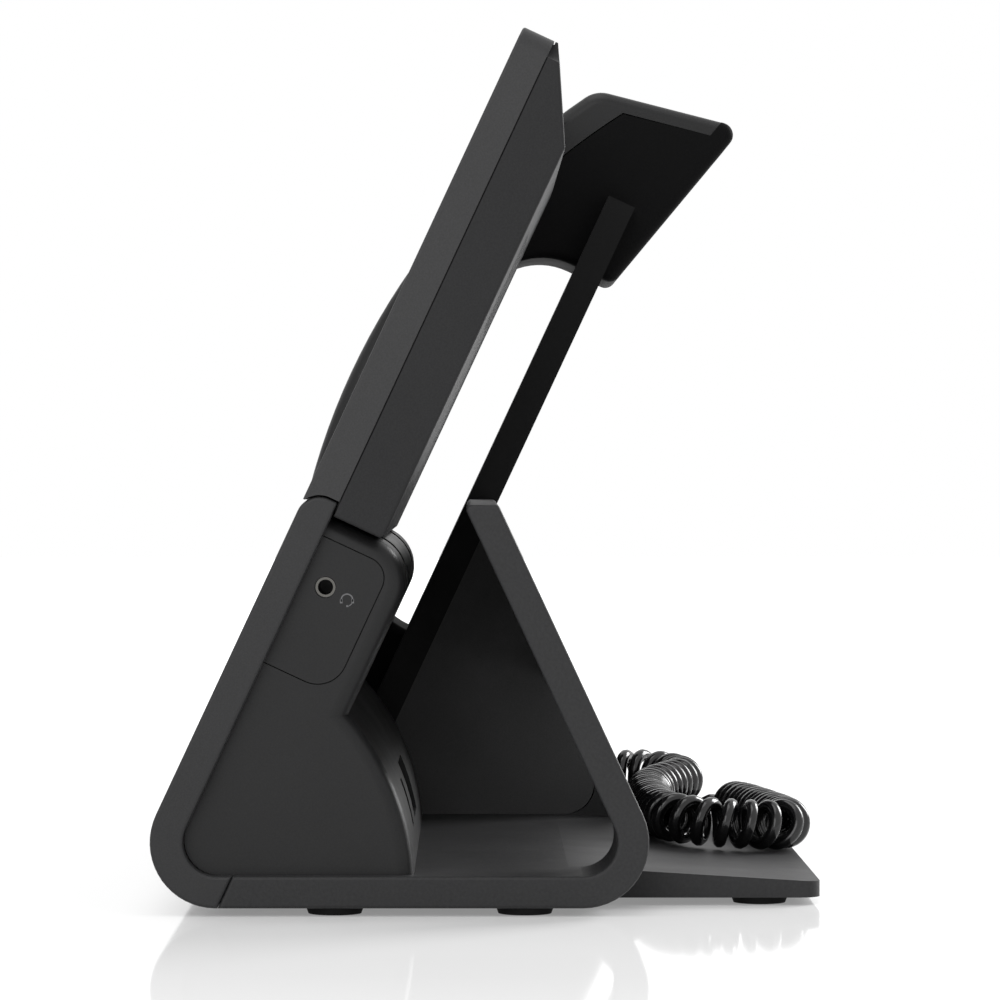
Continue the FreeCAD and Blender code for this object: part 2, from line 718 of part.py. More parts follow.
def pedestal():
    """Hollow body behind the fascia: a leaning block with a round knuckle and a flared foot."""
    body = new_body("pedestal", LEAN_TURN)
    toe = ("fascia_thick", base_top("fascia_thick"))
    heel = leaning("flare_foot", "base_thick")
    block(body, "shell", [[
        toe, (*heel, "flare_radius", 1), ("pedestal_depth", "kink_height"),
        ("pedestal_depth", HINGE_S, "knuckle_radius", 1), (HINGE_N, "pedestal_top"),
        ("fascia_thick", "pedestal_top")]], PEDESTAL_LEFT, PEDESTAL_RIGHT)
    toe_round = f"({INNER_BEND} + panel_gap)"
    round_corners(body, "toe", [toe], toe_round)
    slope = math.radians(num("lean"))
    clear = num(f"base_thick + {toe_round}")
    front = num("fascia_thick") + 1e-3

    def behind(middle):
        return middle.x > front and middle.y * math.cos(slope) - middle.x * math.sin(slope) > clear

    for name, level in (("right_edge", PEDESTAL_RIGHT), ("left_edge", PEDESTAL_LEFT)):
        soften(body, name, edges_at(local_shape(body), 2, level, behind), "pedestal_edge")
    floor = "floor_thick"
    rear_low = leaning("(flare_foot - 1.5 * wall)", "(base_thick + floor_thick)")
    ceiling = "(pedestal_top - knuckle_solid)"
    cut_away(body, "cavity", [[
        ("fascia_thick", base_top("fascia_thick", floor)), (*rear_low, "(flare_radius - wall)", 1),
        ("(pedestal_depth - wall)", "(kink_height - wall)"), ("(pedestal_depth - wall)", ceiling),
        ("fascia_thick", ceiling)]], f"{PEDESTAL_LEFT} + wall", f"{PANEL_BACK} - wall")
    cut_away(body, "board_bay", [rectangle("fascia_thick", "recess_low", BOARD_BACK, "recess_high")],
             RECESS_LEFT, RECESS_RIGHT)
    for index, x in enumerate(ARM_XS):
        half = "(arm_width / 2 + arm_slot)"
        cut_away(body, f"hinge_slot_{index}", [rectangle(
            "(arm_web_front - 2.5 * arm_slot)", f"({HINGE_S} - arm_barrel - 2 * arm_slot)",
            "(2 * pedestal_depth)", "(2 * pedestal_top)")], f"{x} - {half}", f"{x} + {half}")
        cut_away(body, f"pin_bore_{index}", [(HINGE_N, HINGE_S, "pin_radius")],
                 f"{x} - {half} - pin_seat", f"{x} + {half} + pin_seat")
    cut_away(body, "panel_seat", [panel_outline("panel_gap")], PANEL_BACK, PEDESTAL_RIGHT)
    cut_away(body, "jack_bore", [("headset_n", "headset_s", "headset_body")],
             f"{PANEL_BACK} - headset_length", PEDESTAL_RIGHT)
    for label, x, width, height, depth in PORTS:
        near, far = f"(port_face - {depth})", "(flare_foot + wall)"
        low, high = f"({PORT_FLOOR} - slide_gap)", f"({PORT_FLOOR} + {height} + slide_gap)"
        opening = [leaning(near, low), leaning(far, low), leaning(far, high), leaning(near, high)]
        cut_away(body, label + "_opening", [opening], f"{x} - {width} / 2 - slide_gap",
                 f"{x} + {width} / 2 + slide_gap")
    sketch = draw(body, "pilots", [(y, x, "screw_shank_radius") for y, x in SCREW_SPOTS], "XZ_Plane", "0")
    turned = FreeCAD.Rotation(FreeCAD.Vector(0, 1, 0), 1)
    sketch.AttachmentOffset = FreeCAD.Placement(FreeCAD.Vector(), turned)
    bind(sketch, "AttachmentOffset.Rotation.Angle", "lean")
    pilots = body.newObject("PartDesign::Pocket", "pilots")
    pilots.Profile = sketch
    bind(pilots, "Length", "screw_length + slide_gap")


def jack_panel():
    """Side cover round the headset jack."""
    body = new_body("jack_panel", LEAN_TURN)
    block(body, "cover", [panel_outline("0"), ("headset_n", "headset_s", "(headset_ring + panel_gap)")],
          PANEL_BACK, PEDESTAL_RIGHT)


def headset_jack():
    """Headset jack: a metal ring in the panel on a barrel behind it."""
    body = new_body("headset_jack", LEAN_TURN)
    bore = ("headset_n", "headset_s", "headset_hole")
    block(body, "barrel", [("headset_n", "headset_s", "(headset_body - slide_gap)"), bore],
          f"{PANEL_BACK} - headset_length", PANEL_BACK)
    block(body, "ring", [("headset_n", "headset_s", "headset_ring"), bore], PANEL_BACK, PEDESTAL_RIGHT)


def ports():
    """Board on the pedestal floor with the sockets at its rear edge."""
    slab("main_board", SIDE_TURN, "port_face - board_front", "board_thick",
         f"{PANEL_BACK} - {PEDESTAL_LEFT} - 2 * wall - 2 * slide_gap",
         x=f"({PEDESTAL_LEFT} + wall + slide_gap)", y="board_front", z="(base_thick + floor_thick)")
    bodies = {}
    for label, x, width, height, depth in PORTS:
        body = new_body(label, SIDE_TURN)
        side = rectangle(f"(port_face - {depth})", PORT_FLOOR, "port_face", f"({PORT_FLOOR} + {height})")
        block(body, "housing", [side], f"{x} - {width} / 2", f"{x} + {width} / 2")
        bodies[label] = body
    middle = f"({PORT_FLOOR} + lan_height / 2)"
    holes = []
    for side in (-1, 1):
        x = f"(lan_x + {side} * lan_width / 4)"
        holes.append(rectangle(f"({middle} - lan_hole_height / 2)", f"({x} - lan_hole_width / 2)",
                               f"({middle} + lan_hole_height / 2)", f"({x} + lan_hole_width / 2)"))
    cut_away(bodies["network_ports"], "holes", holes, "port_face - lan_depth + 4 * port_wall", "port_face",
             "YZ_Plane")
    middle = f"({PORT_FLOOR} + power_height / 2)"
    rings = [(middle, "power_x", "power_hole"), (middle, "power_x", "power_pin")]
    cut_away(bodies["power_jack"], "hole", rings, "port_face - power_depth + 2 * port_wall", "port_face",
             "YZ_Plane")


def loudspeaker():
    """Hands-free loudspeaker behind the keypad board, facing the user."""
    speaker = doc.addObject("Part::Cylinder", "loudspeaker")
    speaker.Label = "loudspeaker"
    bind(speaker, "Radius", "speaker_radius")
    bind(speaker, "Height", "speaker_depth")
    place(speaker, FACE_TURN, x=DISPLAY_MIDDLE, n=f"({BOARD_BACK} + speaker_depth)", s="speaker_s")
    pieces.append(speaker)


# Display

GLASS_BACK = "(glass_sink + glass_thick)"
WINDOW_MARGIN = "(glass_margin + lcd_margin)"
COVER_INSIDE_LOW = "(cover_low + cover_wall)"


def inset(margin):
    """A rectangle on the display's face, set in from its edges."""
    return (f"(display_low + {margin})", f"({DISPLAY_LEFT} + {margin})",
            f"(display_high - {margin})", f"({DISPLAY_RIGHT} - {margin})")


def display_bezel():
    """Frame round the glass, its lower edge hollowed to the nose of the fascia."""
    body = new_body("display_bezel", LEAN_TURN)
    hollow = "(fascia_nose + display_low - fascia_top)"
    lip = (f"(fascia_nose - {hollow} * cos(lip_turn))",
           f"(fascia_top - fascia_nose + {hollow} * sin(lip_turn))")
    block(body, "slab", [[
        ("0", lip[1]), (*lip, hollow, -1), ("fascia_nose", "display_low"), ("bezel_thick", "display_low"),
        ("bezel_thick", "display_high"), ("0", "display_high")]], DISPLAY_LEFT, DISPLAY_RIGHT)
    round_corners(body, "top_corners", [("display_high", DISPLAY_LEFT), ("display_high", DISPLAY_RIGHT)],
                  "display_corner", axis=0)
    front = edges_at(local_shape(body), 0, "0", lambda middle: middle.y > num("display_low"))
    soften(body, "front_edges", front, "bezel_edge")
    cut_away(body, "glass_seat", [rounded(*inset("glass_margin"), "glass_corner")],
             "0", GLASS_BACK, "YZ_Plane")
    cut_away(body, "window", [rectangle(*inset(WINDOW_MARGIN))], "0", "bezel_thick", "YZ_Plane")


def display_glass():
    """Touch glass, a little below the bezel's face."""
    body = new_body("display_glass", LEAN_TURN)
    block(body, "pane", [rounded(*inset("(glass_margin + glass_gap)"), "glass_corner")],
          "glass_sink", GLASS_BACK, "YZ_Plane")


def display_inside():
    """Screen module behind the glass and the board behind it."""
    low, left, high, right = inset(f"({WINDOW_MARGIN} + glass_gap)")
    slab("lcd_panel", LEAN_TURN, "lcd_thick", f"{high} - {low}", f"{right} - {left}",
         x=left, n=GLASS_BACK, s=low)
    low, left, high, right = inset("display_board_inset")
    slab("display_board", LEAN_TURN, "board_thick", f"{high} - {low}", f"{right} - {left}",
         x=left, n=f"({GLASS_BACK} + lcd_thick)", s=low)


def display_rear_cover():
    """Deep rear shell whose top falls away in a ramp, open to the bezel and slotted for the hinge arms."""
    body = new_body("display_rear_cover", LEAN_TURN)
    ramp_foot = "(display_high - ramp_length)"
    block(body, "shell", [[
        ("bezel_thick", "cover_low"), ("(cover_rear - cover_chamfer)", "cover_low"),
        ("cover_rear", "(cover_low + cover_chamfer)"), ("cover_rear", ramp_foot),
        ("(bezel_thick + ramp_land)", "display_high"), ("bezel_thick", "display_high")]],
        DISPLAY_LEFT, DISPLAY_RIGHT)
    round_rims(body, DISPLAY_LEFT, DISPLAY_RIGHT, lambda middle: middle.x > num("bezel_thick + ramp_land"))
    beyond = "(2 * display_high)"
    for name, edge, side in (("left", DISPLAY_LEFT, 1), ("right", DISPLAY_RIGHT, -1)):
        aside, turn = f"({edge} + {side} * display_corner)", f"({edge} - {side} * half_width)"
        cut_away(body, f"{name}_corner", [[
            ("(display_high - display_corner)", edge, "display_corner", -side), ("display_high", aside),
            (beyond, aside), (beyond, turn), ("(display_high - display_corner)", turn)]],
            "bezel_thick", "cover_rear", "YZ_Plane")
    depth = "shadow_depth"
    cut_away(body, "shadow_line", [
        rectangle("0", f"({DISPLAY_LEFT} - half_width)", beyond, f"({DISPLAY_RIGHT} + half_width)"),
        rounded(f"(cover_low + {depth})", f"({DISPLAY_LEFT} + {depth})", f"(display_high - {depth})",
                f"({DISPLAY_RIGHT} - {depth})", f"(display_corner - {depth})")],
        "bezel_thick", "(bezel_thick + shadow_gap)", "YZ_Plane")
    inside = "(cover_rear - cover_wall)"
    cut_away(body, "cavity", [[
        ("bezel_thick", COVER_INSIDE_LOW), (inside, COVER_INSIDE_LOW),
        (inside, f"({ramp_foot} - cover_wall)"),
        ("bezel_thick", "(display_high - 2 * cover_wall)")]],
        f"{DISPLAY_LEFT} + cover_wall", f"{DISPLAY_RIGHT} - cover_wall")
    for index, x in enumerate(ARM_XS):
        cut_away(body, f"arm_slot_{index}", [rectangle(
            "(arm_web_front - slide_gap)", "(cover_low - cover_wall)",
            "(arm_web_front + arm_web + slide_gap)", f"({COVER_INSIDE_LOW} + cover_wall)")],
            f"{x} - arm_width / 2 - slide_gap", f"{x} + arm_width / 2 + slide_gap")
    vents = []
    for index in range(int(num("vent_count"))):
        x = f"({DISPLAY_MIDDLE} + ({index} - (vent_count - 1) / 2) * vent_pitch)"
        vents.append(rectangle("(vent_s - vent_length / 2)", f"({x} - vent_width / 2)",
                               "(vent_s + vent_length / 2)", f"({x} + vent_width / 2)"))
    cut_away(body, "vents", vents, inside, "cover_rear", "YZ_Plane")


def hinge():
    """Two arms under the display, each on a pin that crosses a slot of the pedestal's knuckle."""
    for side, x in zip(("left", "right"), ARM_XS):
        low, high = f"{x} - arm_width / 2", f"{x} + arm_width / 2"
        body = new_body(f"hinge_arm_{side}", LEAN_TURN)
        block(body, "web", [rectangle("arm_web_front", HINGE_S, "(arm_web_front + arm_web)", "arm_top")],
              low, high)
        block(body, "barrel", [(HINGE_N, HINGE_S, "arm_barrel")], low, high)
        cut_away(body, "bore", [(HINGE_N, HINGE_S, "(pin_radius + pin_gap)")], low, high)
        pin = doc.addObject("Part::Cylinder", f"hinge_pin_{side}")
        pin.Label = f"hinge_pin_{side}"
        bind(pin, "Radius", "pin_radius")
        bind(pin, "Height", "arm_width + 2 * arm_slot + 2 * pin_seat")
        place(pin, LEAN_TURN, x=f"({low} - arm_slot - pin_seat)", n=HINGE_N, s=HINGE_S)
        pieces.append(pin)


# Handset cradle

FORK_LEFT = "(prong_width - half_width)"
FORK_RIGHT = f"({CRADLE_RIGHT} - prong_width)"


def cradle_plate():
    """Leaning back of the cradle: a fork for the ear end above and a window for the mouth end below."""
    body = new_body("cradle_plate", LEAN_TURN)
    block(body, "slab", [[
        ("cradle_front", base_top("cradle_front")), (CRADLE_REAR, base_top(CRADLE_REAR)),
        (CRADLE_REAR, "fork_high"), ("cradle_front", "fork_high")]], CRADLE_LEFT, CRADLE_RIGHT)
    cut_away(body, "fork", [rectangle("fork_low", FORK_LEFT, "2 * fork_high", FORK_RIGHT)],
             "cradle_front", CRADLE_REAR, "YZ_Plane")
    cut_away(body, "mouth_window", [rectangle("0", FORK_LEFT, "cradle_sill", FORK_RIGHT)],
             "cradle_front", CRADLE_REAR, "YZ_Plane")
    cut_away(body, "sensor_seat", [rectangle(
        "(fork_low - 2 * sensor_size)", f"({CRADLE_MIDDLE} - sensor_size / 2)",
        "(fork_low - sensor_size)", f"({CRADLE_MIDDLE} + sensor_size / 2)")],
        f"{CRADLE_REAR} - sensor_thick", CRADLE_REAR, "YZ_Plane")


def cradle_walls():
    """Side walls that fill the triangle between the cradle's back, the base and the rear leg."""
    foot = (f"{LEG_INSIDE} - base_thick * tan(lean)", "base_thick")
    for side, low, high in (("inner", f"{CRADLE_RIGHT} - cradle_wall", CRADLE_RIGHT),
                            ("outer", CRADLE_LEFT, f"{CRADLE_LEFT} + cradle_wall")):
        body = new_body(f"cradle_wall_{side}", SIDE_TURN)
        block(body, "wall", [[(along_cradle(CRADLE_REAR, "base_thick"), "base_thick"), foot,
                              (along_cradle(CRADLE_REAR, CREST), CREST)]], low, high)
        round_corners(body, "foot_corner", [foot], f"{INNER_BEND} + joint_gap")


def cord_socket():
    """Socket for the handset cord, on the base between the walls of the cradle."""
    body = new_body("cord_socket", SIDE_TURN)
    side = rectangle(f"({CORD_SOCKET_FACE} - cord_socket_depth)", "base_thick", CORD_SOCKET_FACE,
                     "(base_thick + cord_socket_height)")
    block(body, "housing", [side], f"{CORD_SOCKET_X} - cord_socket_width / 2",
          f"{CORD_SOCKET_X} + cord_socket_width / 2")
    half_z, half_x = "(plug_height / 2 + slide_gap)", "(plug_width / 2 + slide_gap)"
    cut_away(body, "hole", [rectangle(
        f"({CORD_SOCKET_MIDDLE} - {half_z})", f"({CORD_SOCKET_X} - {half_x})",
        f"({CORD_SOCKET_MIDDLE} + {half_z})", f"({CORD_SOCKET_X} + {half_x})")],
        f"{CORD_SOCKET_FACE} - plug_length", CORD_SOCKET_FACE, "YZ_Plane")


def hook_sensor():
    """Sensor in the cradle that feels the magnet of the handset."""
    slab("hook_sensor", LEAN_TURN, "sensor_thick", "sensor_size", "sensor_size",
         x=f"({CRADLE_MIDDLE} - sensor_size / 2)", n=f"({CRADLE_REAR} - sensor_thick)",
         s="(fork_low - 2 * sensor_size)")


# Handset

HANDSET_LEFT = f"({CRADLE_MIDDLE} - handset_width / 2)"
HANDSET_RIGHT = f"({CRADLE_MIDDLE} + handset_width / 2)"
BACK_CENTRE = "(back_radius - back_proud)"
MOUTH_HIGH = "(cradle_sill - sill_gap)"
SPLIT_RADIUS = "(back_radius - shell_split)"
INNER_RADIUS = "(back_radius - handle_thick)"
ARCH_REACH = f"({INNER_RADIUS} - arch_radius)"


def on_back(radius, s):
    """The n at which an arc about the handset's back centre stands at s."""
    return f"({BACK_CENTRE} - sqrt({radius}^2 - ({s} - back_centre_s)^2))"


def arch(edge, side):
    """Where an arch leaves the handle and where it meets the edge of a head at s, side up or down."""
    centre_s = f"({edge} - {side} * arch_radius)"
    centre_n = on_back(ARCH_REACH, centre_s)
    grow = f"({INNER_RADIUS} / {ARCH_REACH})"
    leave = (f"({BACK_CENTRE} + ({centre_n} - {BACK_CENTRE}) * {grow})",
             f"(back_centre_s + ({centre_s} - back_centre_s) * {grow})")
    return leave, (centre_n, edge)


EAR_TIP = ("ear_tip_n", "ear_tip_s")
EAR_CORNER = ("ear_face_n", "ear_low")
EAR_BACK = (on_back("back_radius", "ear_back_s"), "ear_back_s")


def towards(start, end, distance):
    """The point a distance along the line from one point to another."""
    run = f"sqrt(({end[0]} - {start[0]})^2 + ({end[1]} - {start[1]})^2)"
    return tuple(f"({here} + ({there} - {here}) * {distance} / {run})" for here, there in zip(start, end))


def seam(gap):
    """The parting of the two shells: low and high ends of its arc, its corner in the ear end and its end."""
    radius = f"({SPLIT_RADIUS} - {gap})"
    low = (on_back(radius, "handset_bottom"), "handset_bottom")
    high = (on_back(radius, f"(ear_seam_s - {gap})"), f"(ear_seam_s - {gap})")
    end = towards(EAR_TIP, EAR_BACK, "ear_seam")
    foot = towards(EAR_TIP, EAR_CORNER, "ear_riser")
    corner = tuple(f"({a} + {b} - {c})" for a, b, c in zip(end, foot, EAR_TIP))
    return radius, low, high, corner, end


def handset_back_shell():
    """Outer half of the handset: its back and the top of the ear end, with round edges."""
    body = new_body("handset_back_shell", LEAN_TURN)
    radius, seam_low, seam_high, seam_corner, seam_end = seam("0")
    low = (on_back("back_radius", "handset_bottom"), "handset_bottom")
    block(body, "shell", [[
        (*low, "back_radius", -1), EAR_BACK, seam_end, seam_corner, (*seam_high, radius, 1), seam_low]],
        HANDSET_LEFT, HANDSET_RIGHT)
    round_corners(body, "top_corner", [EAR_BACK], "ear_back_round")
    outside = num("shell_split / 2 - back_proud")
    round_rims(body, HANDSET_LEFT, HANDSET_RIGHT, lambda middle: middle.x < outside, "back_round")


def handset_face_shell():
    """Inner half of the handset: ear and mouth faces, two arches and the inside of the handle."""
    body = new_body("handset_face_shell", LEAN_TURN)
    radius, seam_low, seam_high, seam_corner, seam_end = seam("slide_gap")
    ear_leave, ear_edge = arch("ear_low", 1)
    mouth_leave, mouth_edge = arch(MOUTH_HIGH, -1)
    mouth_corner = ("mouth_face_high_n", MOUTH_HIGH)
    mouth_tip = ("mouth_face_low_n", "handset_bottom")
    block(body, "shell", [[
        (*seam_low, radius, -1), seam_high, seam_corner, seam_end, EAR_TIP, EAR_CORNER,
        (*ear_edge, "arch_radius", 1), (*ear_leave, INNER_RADIUS, 1), (*mouth_leave, "arch_radius", 1),
        mouth_edge, mouth_corner, mouth_tip]], HANDSET_LEFT, HANDSET_RIGHT)
    round_corners(body, "ear_tip", [EAR_TIP], "ear_tip_round")
    round_corners(body, "head_corners", [EAR_CORNER, mouth_corner, mouth_tip], "head_round")
    round_rims(body, HANDSET_LEFT, HANDSET_RIGHT, lambda middle: middle.x > num("ear_face_n")
               and num("ear_low") < middle.y < num("ear_tip_s - 2 * ear_seam"), "side_round")
    hollow = [("receiver_s", CRADLE_MIDDLE, "(receiver_radius + slide_gap)")]
    cut_away(body, "receiver_room", hollow, "receiver_n - slide_gap",
             "receiver_n + receiver_depth + slide_gap", "YZ_Plane")
    hollow = [("mic_s", CRADLE_MIDDLE, "(mic_radius + slide_gap)")]
    cut_away(body, "mic_room", hollow, "mic_n - slide_gap", "mic_n + mic_depth + slide_gap", "YZ_Plane")
    holes = [("receiver_s", CRADLE_MIDDLE, "sound_hole")]
    for turn in range(6):
        holes.append((f"(receiver_s + sound_ring * cos({60 * turn}))",
                      f"({CRADLE_MIDDLE} + sound_ring * sin({60 * turn}))", "sound_hole"))
    cut_away(body, "ear_holes", holes, "receiver_n + receiver_depth", "2 * ear_tip_n", "YZ_Plane")
    cut_away(body, "mouth_hole", [("mic_s", CRADLE_MIDDLE, "sound_hole")],
             "mic_n + mic_depth", "2 * ear_tip_n", "YZ_Plane")
    half_s, half_x = "(weight_length / 2 + slide_gap)", "(weight_width / 2 + slide_gap)"
    cut_away(body, "weight_room", [rectangle(
        f"(back_centre_s - {half_s})", f"({CRADLE_MIDDLE} - {half_x})",
        f"(back_centre_s + {half_s})", f"({CRADLE_MIDDLE} + {half_x})")],
        "weight_n - slide_gap", "weight_n + weight_thick + slide_gap", "YZ_Plane")
    cut_away(body, "magnet_room", [("magnet_n", CRADLE_MIDDLE, "(magnet_radius + slide_gap)")],
             "-(ear_low + cap_skin + magnet_thick + slide_gap)", "-(ear_low + cap_skin)", "XZ_Plane")
    cut_away(body, "socket_room", [about_socket("(cord_socket_height / 2)", "(cord_socket_width / 2)")],
             "-(handset_bottom + cord_socket_depth)", "-handset_bottom", "XZ_Plane")


def about_socket(half_n, half_x):
    """A rectangle round the middle of the socket in the mouth end."""
    return rectangle(f"(jack_n - {half_n})", f"({CRADLE_MIDDLE} - {half_x})",
                     f"(jack_n + {half_n})", f"({CRADLE_MIDDLE} + {half_x})")


def handset_inside():
    """Receiver, microphone, balance weight, magnet and cord socket of the handset."""
    for label, radius, depth, n, s in (
            ("receiver_capsule", "receiver_radius", "receiver_depth", "receiver_n", "receiver_s"),
            ("microphone_capsule", "mic_radius", "mic_depth", "mic_n", "mic_s")):
        capsule = doc.addObject("Part::Cylinder", label)
        capsule.Label = label
        bind(capsule, "Radius", radius)
        bind(capsule, "Height", depth)
        place(capsule, FACE_TURN, x=CRADLE_MIDDLE, n=f"({n} + {depth})", s=s)
        pieces.append(capsule)
    slab("balance_weight", LEAN_TURN, "weight_thick", "weight_length", "weight_width",
         x=f"({CRADLE_MIDDLE} - weight_width / 2)", n="weight_n", s="(back_centre_s - weight_length / 2)")
    magnet = doc.addObject("Part::Cylinder", "hook_magnet")
    magnet.Label = "hook_magnet"
    bind(magnet, "Radius", "magnet_radius")
    bind(magnet, "Height", "magnet_thick")
    place(magnet, "rotation(vector(1; 0; 0); -lean)", x=CRADLE_MIDDLE, n="magnet_n", s="(ear_low + cap_skin)")
    pieces.append(magnet)
    body = new_body("handset_socket", LEAN_TURN)
    block(body, "housing", [about_socket("(cord_socket_height / 2)", "(cord_socket_width / 2)")],
          "-(handset_bottom + cord_socket_depth)", "-handset_bottom", "XZ_Plane")
    cut_away(body, "hole", [about_socket("(plug_height / 2 + slide_gap)", "(plug_width / 2 + slide_gap)")],
             "-(handset_bottom + plug_length)", "-handset_bottom", "XZ_Plane")


def plugs():
    """The cord's two plugs, each in its socket with its nose just outside."""
    slab("handset_plug", LEAN_TURN, "plug_height", "plug_length", "plug_width",
         x=f"({CRADLE_MIDDLE} - plug_width / 2)", n="(jack_n - plug_height / 2)",
         s="(handset_bottom - plug_nose)")
    slab("base_plug", SIDE_TURN, "plug_length", "plug_height", "plug_width",
         x=f"({CORD_SOCKET_X} - plug_width / 2)", y=f"({CORD_SOCKET_FACE} + plug_nose - plug_length)",
         z=f"({CORD_SOCKET_MIDDLE} - plug_height / 2)")


# Cord, its points counted from the middle of the cradle, the corner of the base and its underside

HANDSET_ROUTE = [(0.0, 50.1, 15.3), (-0.2, 54.2, 11.0), (-0.6, 62.4, 9.9), (-1.4, 75.4, 9.8),
                 (-0.8, 86.4, 10.7), (-0.2, 99.4, 13.2)]
COIL_ROUTE = [(0.0, 111.4, 15.2), (1.0, 129.4, 17.6), (7.5, 140.9, 16.8), (21.0, 144.4, 16.2),
              (35.0, 137.9, 15.8), (49.0, 132.4, 14.8), (81.0, 132.6, 13.2), (109.9, 135.2, 12.9),
              (119.6, 144.9, 12.3), (119.6, 158.7, 11.5), (109.9, 168.4, 11.0), (77.0, 162.9, 11.4),
              (51.0, 156.9, 11.9), (38.0, 150.4, 12.0)]
BASE_ROUTE = [(32.0, 146.4, 9.0), (26.0, 139.4, 7.6), (22.0, 130.4, 9.3), (19.0, 119.4, 10.6),
              (18.0, 106.4, 10.6), (18.0, 93.4, 11.4)]


def vectors(points):
    """Points of a route as vectors."""
    corner = FreeCAD.Vector(num(CRADLE_MIDDLE), num(CORNER_Y), num("foot_height"))
    return [corner + FreeCAD.Vector(*point) for point in points]


def bent_path(points, label):
    """Straight runs joined by tangent arcs, each as large as its two runs allow."""
    share = 0.45
    edges = []
    radii = []
    start = points[0]
    for before, corner, after in zip(points, points[1:], points[2:]):
        back, ahead = (before - corner), (after - corner)
        run = min(back.Length, ahead.Length)
        back.normalize()
        ahead.normalize()
        half_turn = (math.pi - back.getAngle(ahead)) / 2
        radii.append(share * run / math.tan(half_turn))
        first, last = corner + back * share * run, corner + ahead * share * run
        inward = (back + ahead).normalize()
        middle = corner + inward * (radii[-1] / math.cos(half_turn) - radii[-1])
        edges.append(Part.LineSegment(start, first).toShape())
        edges.append(Part.Arc(first, middle, last).toShape())
        start = last
    edges.append(Part.LineSegment(start, points[-1]).toShape())
    print(f"{label}: least radius {min(radii):.1f} mm, length {sum(e.Length for e in edges):.1f} mm")
    return edges


def tube(label, edges):
    """A round tube of the cord's diameter along tangent edges."""
    wire = Part.Wire(edges)
    start = edges[0].valueAt(edges[0].FirstParameter)
    ahead = edges[0].tangentAt(edges[0].FirstParameter)
    ring = Part.Wire(Part.Circle(start, ahead, num("cord_diameter / 2")).toShape())
    solid = wire.makePipeShell([ring], True, False)
    expected = math.pi * num("cord_diameter / 2") ** 2 * wire.Length
    print(f"{label}: volume {solid.Volume:.0f} of {expected:.0f} cubic mm, length {wire.Length:.0f} mm")
    piece = doc.addObject("Part::Feature", label)
    piece.Label = label
    piece.Shape = solid
    piece.Placement = FreeCAD.Placement()
    pieces.append(piece)


def walk(edges, step):
    """Point, direction and curvature at even steps along tangent edges."""
    total = sum(edge.Length for edge in edges)
    count = round(total / step)
    stations = []
    index, passed = 0, 0.0
    for number in range(count + 1):
        along = total * number / count
        while index < len(edges) - 1 and along > passed + edges[index].Length:
            passed += edges[index].Length
            index += 1
        edge = edges[index]
        spot = edge.getParameterByLength(min(along - passed, edge.Length))
        stations.append((along, edge.valueAt(spot), edge.tangentAt(spot), edge.curvatureAt(spot)))
    return stations


def curl_points(edges):
    """The cord's middle line, wound about a route; the curls open towards its ends and in its bends."""
    reach = num("(coil_diameter - cord_diameter) / 2")
    stations = walk(edges, num("coil_pitch") / 64)
    total = stations[-1][0]
    turn, last = 0.0, 0.0
    line = []
    for along, point, ahead, curve in stations:
        start = (min(along, total - along) - num("cord_diameter")) / num("coil_ramp")
        grown = min(max(start, 0.0), 1.0)
        swing = reach * grown ** 2 * (3 - 2 * grown)
        pitch = num("coil_pitch") * (1 + num("coil_opening") * (1 - swing / reach))
        turn += 2 * math.pi * (along - last) / pitch * (1 - reach * curve)
        last = along
        aside = ahead.cross(FreeCAD.Vector(0, 0, 1)).normalize()
        above = aside.cross(ahead)
        line.append((turn, swing, point + (aside * math.cos(turn) + above * math.sin(turn)) * swing))
    return line


def arc_from(foot, way, tip):
    """Points of the arc that leaves foot along a direction and ends at tip, or of a straight run."""
    chord = tip - foot
    side = chord - way * chord.dot(way)
    if side.Length < 1e-3 * chord.Length:
        return [foot, tip]
    side.normalize()
    centre = foot + side * (chord.dot(chord) / (2 * chord.dot(side)))
    crown = ((foot - centre) + (tip - centre)).normalize()
    return [foot, centre + crown * (foot - centre).Length, tip]


def edge_through(points):
    """The straight or round edge through two or three points."""
    return (Part.Arc(*points) if len(points) == 3 else Part.LineSegment(*points)).toShape()


def biarc(start, start_way, end, end_way):
    """Two arcs that join two points along given directions."""
    span, ways = end - start, start_way + end_way
    lack = 2 * (1 - start_way.dot(end_way))
    reach = (math.sqrt(span.dot(ways) ** 2 + lack * span.dot(span)) - span.dot(ways)) / lack
    joint = (start + end + (start_way - end_way) * reach) / 2
    return [edge_through(arc_from(start, start_way, joint)),
            edge_through(arc_from(end, end_way * -1, joint)[::-1])]


def least_gap(line, label):
    """Prints the curls and the least gap between the wound cord and itself, measured on points."""
    points = [point for _, _, point in line[::4]]
    apart = num("2 * cord_diameter")
    steps = [0.0]
    for first, second in zip(points, points[1:]):
        steps.append(steps[-1] + (second - first).Length)
    gap = min((points[i] - points[j]).Length
              for i in range(len(points)) for j in range(i + 1, len(points)) if steps[j] - steps[i] > apart)
    gap -= num("cord_diameter")
    print(f"{label}: {line[-1][0] / (2 * math.pi):.1f} curls, least gap to itself {gap:.2f} mm")


